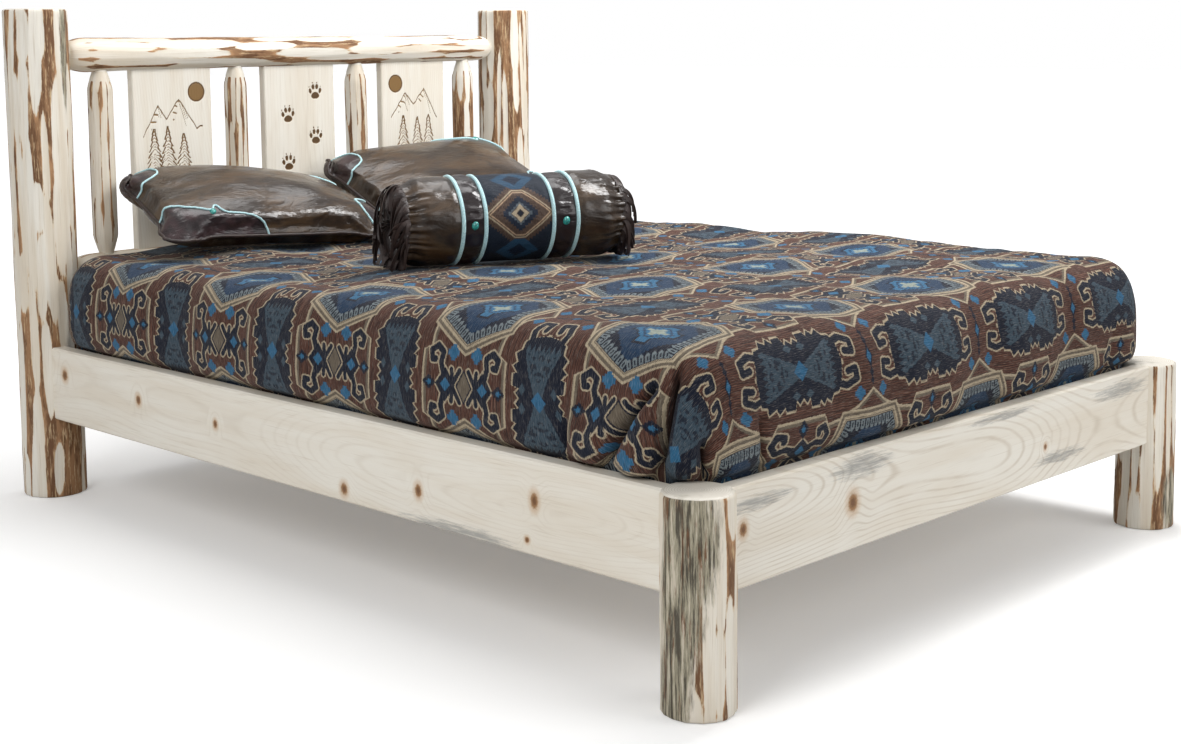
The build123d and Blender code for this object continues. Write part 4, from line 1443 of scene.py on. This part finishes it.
def curl_corners(points, curls):
    """Rolls the sham's corners up like scrolls: past a line square to the corner's
    diagonal, the way out is wound onto a circle."""
    for (cx, cy), start, radius in curls:
        diagonal = unit(np.array([cx * 0.84, cy * 0.54]))
        tip = np.array([cx * SHAM_REACH[0], cy * SHAM_REACH[1]]) @ diagonal
        out = points[:, :2] @ diagonal - (tip - start)
        past = np.maximum(out, 0)
        turn = past / radius
        tight = radius * (1 - 0.30 * smooth_step(0.5, 4.0, turn))
        lift = points[:, 2]
        moved = points.copy()
        moved[:, :2] += ((tight - lift) * np.sin(turn) - past)[:, None] * diagonal
        moved[:, 2] = tight - (tight - lift) * np.cos(turn)
        points = np.where(out[:, None] > 0, moved, points)
    return points


def piece_reach(x, y, path):
    """The signed distance to a corner piece's edge, positive on its corner's side."""
    a, d = path[:-1], np.diff(path, axis=0)
    px = x[:, None] - a[:, 0]
    py = y[:, None] - a[:, 1]
    share = np.clip((px * d[:, 0] + py * d[:, 1]) / (d ** 2).sum(axis=1), 0, 1)
    far = np.hypot(px - share * d[:, 0], py - share * d[:, 1])
    nearest = far.argmin(axis=1)
    rows = np.arange(len(x))
    turn = d[nearest, 0] * py[rows, nearest] - d[nearest, 1] * px[rows, nearest]
    return np.where(turn > 0, -1, 1) * far[rows, nearest]


def on_skin(spots, rest, skin, normals, upper=True):
    """Where spots (x, y) of the starting form's upper or under side lie on the stuffed skin,
    and the way the skin faces there, blended from the nearest vertices."""
    chosen = np.flatnonzero(rest[:, 2] > -0.001 if upper else rest[:, 2] < 0.001)
    far = np.hypot(spots[:, :1] - rest[chosen, 0], spots[:, 1:] - rest[chosen, 1])
    near = np.argsort(far, axis=1)[:, :6]
    weight = 1 / (np.take_along_axis(far, near, 1) + 0.001) ** 2
    weight /= weight.sum(axis=1)[:, None]
    place = (skin[chosen][near] * weight[..., None]).sum(axis=1)
    facing = (normals[chosen][near] * weight[..., None]).sum(axis=1)
    return place, unit(facing)


def sham_turn(turn, tilt, bank):
    """The sham's turn: banked about its length, leant back, then turned about Z."""
    a, b, c = (math.radians(v) for v in (turn, tilt, bank))
    about_z = np.array([[math.cos(a), -math.sin(a), 0], [math.sin(a), math.cos(a), 0], [0, 0, 1]])
    about_x = np.array([[1, 0, 0], [0, math.cos(b), -math.sin(b)], [0, math.sin(b), math.cos(b)]])
    about_y = np.array([[math.cos(c), 0, math.sin(c)], [0, 1, 0], [-math.sin(c), 0, math.cos(c)]])
    return about_z @ about_x @ about_y


def sagged(points, sag, x, y):
    """The points with the corner that lies furthest out at (x, y) sunk by the sag."""
    points[..., 2] -= sag * smooth_step(-0.10, 0.32, x) * smooth_step(-0.14, 0.19, y)
    return points


def make_sham(side, turns, seed, sag, aside, far_shift, curls, materials):
    """A leather sham: stuffed skin, corner pieces edged with piping, a dark welt along the
    seam, studs, and its stuffing, all shaped lying flat, then turned and set down. turns
    are in degrees; aside moves it sideways, far_shift the corner pieces' far copies."""
    body = f"sham_{side}"
    low, high, _ = span(f"{body}_cover")
    piece = closed_tube(f"{body}_skin", sham_form(0.070, 0.030)[:, ::-1])
    rest = even_skin(piece, SKIN_CELL)
    x, y, z = rest.T
    corner = (x / SHAM_REACH[0]) ** 2 * (y / SHAM_REACH[1]) ** 2
    blown = stuff(piece, rest, pressure=3.4, cap=0.022)
    skin = sagged(rest + blown * (1 - 0.7 * smooth_step(0.15, 0.75, corner))[:, None], sag, x, y)
    spot = rest * [1, 1, 2]
    slack = 0.0048 * lattice_noise(spot, 0.13, seed)
    slack += 0.0032 * lattice_noise(spot * [0.5, 1.3, 1], 0.05, seed + 1)
    drawn_in = smooth_step(0.115, 0.195, np.abs(y)) + smooth_step(0.235, 0.315, np.abs(x))
    slack += 0.0032 * drawn_in * lattice_noise(spot * [1.6, 0.5, 1], 0.030, seed + 2)
    skin[:, 2] += np.sign(z) * slack * smooth_step(0.0, 0.03, np.abs(z))
    move_points(piece, skin)
    normals = read_points(piece.data.vertices, "normal")

    large, small = np.array(LARGE_PIECE), np.array(SMALL_PIECE)
    paths = [large, far_shift - large, small, -small]
    reach = np.maximum.reduce([piece_reach(x, y, path) for path in paths])
    add_values(piece, "patch", np.where(z > -0.004, reach, -0.05))
    add_vectors(piece, "sham_place", rest + seed)

    matrix = sham_turn(*turns)
    placed = curl_corners(skin, curls) @ matrix.T
    move = np.array([
        aside + (low[0] + high[0]) / 2 - (placed[:, 0].min() + placed[:, 0].max()) / 2,
        high[1] - placed[:, 1].max() - GAP_TO_HEADBOARD,
        low[2] - placed[:, 2].min() - SUNK_IN_SPREAD,
    ])

    def set_down(points):
        return curl_corners(points, curls) @ matrix.T + move

    move_points(piece, placed + move)
    piece.data.polygons.foreach_set("use_smooth", np.ones(len(piece.data.polygons), bool))
    dress(piece, body, materials["leather"], [f"{body}_cover"])

    for number, path in enumerate(paths, 1):
        line = through(path, 90 if len(path) > 6 else 50)
        line = line[(np.abs(line) < np.array(SHAM_REACH) * 0.985).all(axis=1)]
        place, facing = on_skin(line, rest, skin, normals)
        path = set_down(place + 0.0012 * facing)
        cord = closed_cord(f"{body}_piping_{number}", path, PIPING_RADIUS)
        dress(cord, body, materials["cord"])
    seam = stacked(*sham_outline(full_turn(260) + SEAM_START))
    upper, _ = on_skin(seam, rest, skin, normals)
    lower, _ = on_skin(seam, rest, skin, normals, upper=False)
    outward = unit(stacked(seam[:, 0], seam[:, 1], 0))
    path = set_down((upper + lower) / 2 + 0.0015 * outward)
    welt = looped_cord(f"{body}_welt", path, WELT_RADIUS)
    dress(welt, body, materials["trim"])
    stud_spot = np.array(STUD_SPOT)
    for number, spot in enumerate((stud_spot, far_shift - stud_spot), 1):
        place, facing = on_skin(spot[None, :], rest, skin, normals)
        name = f"{body}_stud_{number}"
        make_stud(name, body, place[0], facing[0], 0.0085, 0.0075, materials["stone"], set_down)

    inner = sham_form(0.056, 0.022, 60, 12) * [0.82, 0.72, 0.8]
    inner = sagged(inner, sag, inner[..., 0], inner[..., 1]) @ matrix.T + move
    fill = closed_tube(f"{body}_stuffing", inner[:, ::-1])
    dress(fill, body, materials["fill"], [f"{body}_fill"])


# ------------------------------------------------------------------ bolster
BOLSTER_LOW, _, BOLSTER_MIDDLE = span("bolster_cover")
BOLSTER_TURN = math.radians(-21)
# half the length between the seams
BOLSTER_TUBE = 0.2625
BOLSTER_RADIUS = 0.100
BOLSTER_RINGS = (-0.138, -0.084, 0.080, 0.140)
STRAP_PLACES = (-0.111, 0.110)
PANEL_MIDDLE = (BOLSTER_RINGS[1] + BOLSTER_RINGS[2]) / 2
PANEL_HALF = 0.082
STRAPS_HALF = 0.140
PANEL_ARC = BOLSTER_RADIUS * math.radians(11)
STUD_ANGLE = math.radians(-2)
BOLSTER_ALONG = np.array([math.cos(BOLSTER_TURN), math.sin(BOLSTER_TURN), 0])
BOLSTER_FRONT = np.array([math.sin(BOLSTER_TURN), -math.cos(BOLSTER_TURN), 0])
UP = np.array([0, 0, 1.0])


def facing_out(angle):
    """The way the bolster's surface faces at an angle round it, 0 at the front and growing
    over the top."""
    return np.cos(angle)[..., None] * BOLSTER_FRONT + np.sin(angle)[..., None] * UP


def bolster_point(s, radius, angle):
    """A point from its place along the bolster, its radius and its angle round it. The
    underside is a little flattened by its weight."""
    s, radius, angle = np.broadcast_arrays(s, radius, angle)
    centre = np.array([BOLSTER_MIDDLE[0], BOLSTER_MIDDLE[1], BOLSTER_LOW[2] + 0.0995])
    height = radius * np.sin(angle)
    height = np.maximum(height, -0.0955 + 0.12 * (height + 0.0955))
    front = (radius * np.cos(angle))[..., None] * BOLSTER_FRONT
    return centre + s[..., None] * BOLSTER_ALONG + front + height[..., None] * UP


def bolster_radius(s, angle):
    """The bolster's radius: full along the tube, drawn in by the rings, gathered in pleats
    towards both seams, with slack creases in the leather."""
    s, angle = np.broadcast_arrays(s, angle)
    base = BOLSTER_RADIUS * (1 - 0.15 * smooth_step(0.215, 0.2625, np.abs(s)))
    for ring in BOLSTER_RINGS:
        base = base - 0.0035 * np.exp(-((s - ring) / 0.011) ** 2)
    spot = np.stack([s * 1.6, 0.1 * np.cos(angle), 0.1 * np.sin(angle)], -1)
    slack = 0.0036 * lattice_noise(spot, 0.085, 41) + 0.0018 * lattice_noise(spot, 0.035, 42)
    wander = lattice_noise(spot * [0, 1, 1], 0.06, 43)
    gather = smooth_step(0.175, 0.262, np.abs(s)) ** 1.5
    pleat = np.cos(19 * angle + 3.6 * wander) + 0.7 * np.cos(31 * angle + 7 * wander)
    strap = sum(np.exp(-((s - place) / 0.018) ** 2) for place in STRAP_PLACES)
    pucker = np.cos(15 * angle + 3.0 * lattice_noise(spot * [0, 1, 1], 0.05, 44))
    return base + slack * (0.7 + gather) + 0.0026 * pleat * gather + 0.0015 * pucker * strap


def panel_colour(tree, s, arc):
    """The bolster's woven panel: a double-lined hexagon round a serrated diamond and a small
    stepped ring, with half medallions above and below and serrated corners."""
    thread = noise(joined(tree, s, arc, 0.0), (900, 160, 1))
    sx = abs(s + 0.002).snap(0.0022)
    sy = abs(arc - PANEL_ARC).snap(0.0022)
    hexagon = (sy - 0.052).most(sx * 0.63 + sy * 0.777 - 0.0470)
    tooth = (sx - sy).fold(0.0120)
    medallion = sx * 0.62 + abs(sy - 0.092) * 0.78
    diamond = sx * 0.72 + sy * 0.80 - 0.0345
    ring = abs(sx * 0.75 + sy * 0.75 - 0.0095)
    colour = drawn(
        blend(thread.above(0.5, 0.2), tone(60, 46, 40), tone(88, 71, 61)),
        (0.012 - hexagon + tooth * 1.2, tone(28, 36, 48)),
        (medallion - 0.034 + tooth * 0.5, tone(38, 68, 92)),
        (medallion - 0.016 + tooth * 0.8, tone(18, 30, 48)),
        (abs(hexagon) - 0.0060, tone(86, 68, 58)),
        (abs(hexagon - 0.0026) - 0.0014, BEIGE),
        (abs(hexagon + 0.0026) - 0.0012, tone(176, 150, 122)),
        (diamond + tooth * 0.9, tone(26, 36, 52)),
        (diamond + 0.013 + tooth * 0.6, tone(84, 94, 102)),
        (diamond + 0.019, tone(70, 58, 54)),
        (ring - 0.0032 - abs(sx - sy) * 0.10, BEIGE),
        (sx + sy - 0.0060, NAVY),
    )
    return blend(thread.below(0.42, 0.12) * 0.35, colour, tone(26, 22, 22))


def bolster_parts(tree, colour):
    """The bolster's plum straps, woven panel and dark ends over its hide."""
    s, arc, _ = split(read_vector(tree, "roll_place"))
    from_middle = abs(s - PANEL_MIDDLE)
    colour = blend(inside(from_middle - STRAPS_HALF), colour, PLUM_LEATHER)
    colour = blend(inside(from_middle - PANEL_HALF), colour, panel_colour(tree, s, arc))
    return blend(abs(s).above(BOLSTER_TUBE - 0.001, 0.001), colour, tone(34, 24, 22))


def on_panel(tree):
    """1 on the bolster's woven panel."""
    return inside(abs(split(read_vector(tree, "roll_place"))[0] - PANEL_MIDDLE) - PANEL_HALF)


FRINGE_STRIPS = 128
FRINGE_STEPS = 12


def fringe(name, side, seed, material):
    """Leather strips all round a seam: flat ribbons that leave the seam outwards along the
    bolster, droop under their weight and twist a little, closed to one mesh."""
    random = np.random.default_rng(seed)

    def each(low, high):
        return random.uniform(low, high, FRINGE_STRIPS)[:, None]

    angle = full_turn(FRINGE_STRIPS)[:, None] + each(-0.05, 0.05)
    angle = angle + 0.055 * np.sin(13 * angle + seed)
    t = np.linspace(0, 1, FRINGE_STEPS)
    length = each(0.052, 0.100)
    lean = each(-0.30, 0.30)
    lift = each(0.1, 0.7)
    radius = BOLSTER_RADIUS * 0.865 + length * (lift * t - 0.75 * t ** 2) * 0.5
    s = side * (BOLSTER_TUBE - 0.004 + length * (each(0.35, 0.8) * t - 0.30 * t ** 2))
    around = angle + lean * t ** 1.5
    path = bolster_point(s, radius, around)
    path[..., 2] -= length * (0.72 + 0.25 * each(-1, 1)) * t ** 1.7
    path[..., 2] = np.maximum(path[..., 2], BOLSTER_LOW[2] + 0.003)
    heading = unit(np.gradient(path, axis=1))
    across = unit(np.cross(heading, facing_out(around)))
    thick = np.cross(across, heading)
    twist = (each(-1.0, 1.0) * t)[..., None]
    wide = np.cos(twist) * across + np.sin(twist) * thick
    half = 0.0050 * (1 - 0.30 * t)[:, None] * wide
    flat = 0.0007 * np.cross(wide, heading)
    rings = np.stack([path + half + flat, path + half - flat, path - half - flat, path - half + flat], axis=2)
    start = (np.arange(FRINGE_STRIPS) * FRINGE_STEPS * 4)[:, None]
    quads = grid_faces(FRINGE_STEPS, 4, True) + start[..., None]
    near_end = start + [3, 2, 1, 0]
    far_end = start + (FRINGE_STEPS - 1) * 4 + [0, 1, 2, 3]
    faces = np.vstack([quads.reshape(-1, 4), near_end, far_end])
    piece = new_mesh(name, rings.reshape(-1, 3), faces, smooth=False)
    dress(piece, "bolster", material)


def make_bolster(materials):
    """The bolster: its skin as rings of points along the axis, closed by pleats gathered into
    the middle of each end, with piping, studs, fringes and stuffing."""
    angle = full_turn(280)
    tube = np.linspace(-BOLSTER_TUBE, BOLSTER_TUBE, 150)[:, None]
    radius = bolster_radius(tube, angle)
    inward = np.linspace(1, 0.04, 22)[1:, None]
    pleats = 0.0040 * np.cos(26 * angle) * np.sin(np.pi * inward) ** 0.5
    end_s = BOLSTER_TUBE + 0.020 * np.sqrt(1 - inward ** 2) - 0.012 * np.exp(-(inward / 0.3) ** 2) + pleats
    s_all = np.vstack([-end_s[::-1], tube + 0 * angle, end_s])
    r_all = np.vstack([(inward * radius[0])[::-1], radius, inward * radius[-1]])
    piece = closed_tube("bolster_skin", bolster_point(s_all, r_all, angle)[:, ::-1])
    wrapped = np.where(angle > np.pi, angle - 2 * np.pi, angle) * BOLSTER_RADIUS
    for label, place in (
        ("roll_place", stacked(s_all, wrapped, r_all)),
        ("hide_place", stacked(s_all, r_all * np.cos(angle), r_all * np.sin(angle))),
    ):
        place = place[:, ::-1].reshape(-1, 3)
        add_vectors(piece, label, np.vstack([place, place[0], place[-1]]))
    dress(piece, "bolster", materials["bolster"], ["bolster_cover"])

    loop = full_turn(140)
    for number, ring in enumerate(BOLSTER_RINGS, 1):
        path = bolster_point(ring, bolster_radius(ring, loop) + 0.0012, loop)
        cord = looped_cord(f"bolster_piping_{number}", path, 0.0046, 12)
        dress(cord, "bolster", materials["cord"])
    for number, s in enumerate(STRAP_PLACES, 1):
        at = np.array(STUD_ANGLE)
        place = bolster_point(s, bolster_radius(s, at), at)
        name = f"bolster_stud_{number}"
        make_stud(name, "bolster", place, facing_out(at), 0.0088, 0.0085, materials["stone"])
    fringe("bolster_fringe_left", -1, 71, materials["trim"])
    fringe("bolster_fringe_right", 1, 72, materials["trim"])

    inner = bolster_point(s_all[::6, ::7] * 0.92, r_all[::6, ::7] * 0.92, angle[::7])
    fill = closed_tube("bolster_stuffing", inner[:, ::-1])
    dress(fill, "bolster", materials["fill"], ["bolster_fill"])


# ------------------------------------------------------------------ run: the bedding
make_bedspread(spread_finish())
trimmings = {
    "leather": leather("sham_leather", "sham_place", plum_corners),
    "bolster": leather("bolster_leather", "hide_place", bolster_parts, on_panel),
    "trim": grained_finish(
        "leather_trim", 0.45, (55.0, 3.0), tone(34, 24, 22), tone(54, 40, 36), 0.0006, (240.0, 3.0),
        specular=0.4,
    ),
    "cord": grained_finish(
        "cyan_piping", 0.6, ((700, 700, 260), 1.0), tone(150, 196, 204), tone(198, 228, 230), 0.0005,
        sheen=0.3,
    ),
    "stone": turquoise_finish(),
    "fill": grained_finish(
        "fibre_fill", 0.95, (130.0, 4.0, 0.7), tone(222, 222, 218), tone(242, 242, 240), 0.003,
        specular=0.1, sheen=0.3,
    ),
}
for side, turns, seed, sag, aside, far_shift, curls in (
    (
        "left", (-10, 19, 3), 51, 0.030, 0.0, (0, 0.022),
        [((-1, 1), 0.074, 0.015), ((1, 1), 0.030, 0.016)],
    ),
    (
        "right", (0, 25, -3), 61, 0.0, -0.016, (0.022, -0.022),
        [((-1, 1), 0.066, 0.016), ((1, 1), 0.066, 0.015)],
    ),
):
    make_sham(side, turns, seed, sag, aside, far_shift, curls, trimmings)
make_bolster(trimmings)


# ------------------------------------------------------------------ stage, lights and camera
STAGE_HALF = 40.0
STAGE_DROP = 0.0005


def make_stage():
    """A pale floor that keeps the shadow and looks white from the camera."""
    corners = np.array([[-1, -1], [1, -1], [1, 1], [-1, 1]]) * STAGE_HALF
    vertices = stacked(corners[:, 0], corners[:, 1], -STAGE_DROP)
    floor = new_mesh("studio_floor", vertices, np.array([[0, 1, 2, 3]]), smooth=False)
    finish = Finish("studio_floor", 0.9)
    tree = finish.tree
    finish.set("Base Color", (0.86, 0.86, 0.86, 1))
    finish.set("Emission Color", (1, 1, 1, 1))
    away = add_node(tree, "VectorMath", (object_place(tree),), "Value", operation="LENGTH")
    camera_ray = add_node(tree, "LightPath", (), "Is Camera Ray")
    glow = span_map(away, 1.0, 4.5, 0.20, 0.78, "SMOOTHSTEP")
    finish.set("Emission Strength", glow * camera_ray)
    floor.data.materials.append(finish.material)


def area_light(name, place, target, size, power):
    """A rectangular lamp of that size and power in watts that faces its target."""
    light = bpy.data.lights.new(name, "AREA")
    light.shape = "RECTANGLE"
    light.size, light.size_y = size
    light.energy = power
    lamp = bpy.data.objects.new(name, light)
    bpy.context.scene.collection.objects.link(lamp)
    lamp.location = place
    lamp.rotation_euler = (Vector(target) - Vector(place)).to_track_quat("-Z", "Y").to_euler()


def make_world():
    """A soft grey dome, white to the camera and weak in reflections."""
    world = bpy.data.worlds.new("studio")
    bpy.context.scene.world = world
    world.use_nodes = True
    tree = world.node_tree
    background = tree.nodes["Background"]
    camera_ray, glossy_ray, clear_ray = (
        add_node(tree, "LightPath", (), f"Is {kind} Ray") for kind in ("Camera", "Glossy", "Transmission")
    )
    seen = camera_ray.most(glossy_ray * 0.25).most(clear_ray)
    feed(tree, background.inputs["Strength"], span_map(seen, 0.0, 1.0, 0.40, 1.0))
    background.inputs["Color"].default_value = (1, 1, 1, 1)


CAMERA_PLACE = (-2.9522, -2.9431, 1.1293)
CAMERA_YAW = 45.218
CAMERA_PITCH = 6.6
CAMERA_ROLL = -0.585
CAMERA_LENS = 54.156
CAMERA_SHIFT = (0.0138, -0.1134)


def make_camera():
    """A camera turned by yaw from +Y towards +X, pitched down, then rolled."""
    yaw, pitch, roll = (math.radians(a) for a in (CAMERA_YAW, CAMERA_PITCH, CAMERA_ROLL))
    forward = np.array([math.sin(yaw) * math.cos(pitch), math.cos(yaw) * math.cos(pitch), -math.sin(pitch)])
    right = np.array([math.cos(yaw), -math.sin(yaw), 0])
    up = np.cross(right, forward)
    across = math.cos(roll) * right + math.sin(roll) * up
    upward = -math.sin(roll) * right + math.cos(roll) * up
    data = bpy.data.cameras.new("camera")
    data.sensor_width = 36
    data.lens = CAMERA_LENS
    data.shift_x, data.shift_y = CAMERA_SHIFT
    camera = bpy.data.objects.new("camera", data)
    bpy.context.scene.collection.objects.link(camera)
    turn = np.eye(4)
    turn[:3, 0], turn[:3, 1], turn[:3, 2], turn[:3, 3] = across, upward, -forward, CAMERA_PLACE
    camera.matrix_world = Matrix(turn.tolist())
    bpy.context.scene.camera = camera


make_stage()
make_world()
make_camera()
for lamp in (
    ("key", (-4.2, -1.4, 3.2), (0, 0, 0.5), (1.8, 1.8), 78),
    ("fill", (1.4, -4.4, 2.0), (0, 0, 0.4), (2.6, 2.2), 50),
    ("top", (0.4, 0.8, 4.2), (0, 0, 0.5), (2.4, 2.4), 84),
    ("head", (0.9, -0.75, 2.5), (0.1, 1.05, 0.85), (0.9, 0.9), 50),
):
    area_light(*lamp)
bpy.context.scene.view_settings.view_transform = "Standard"
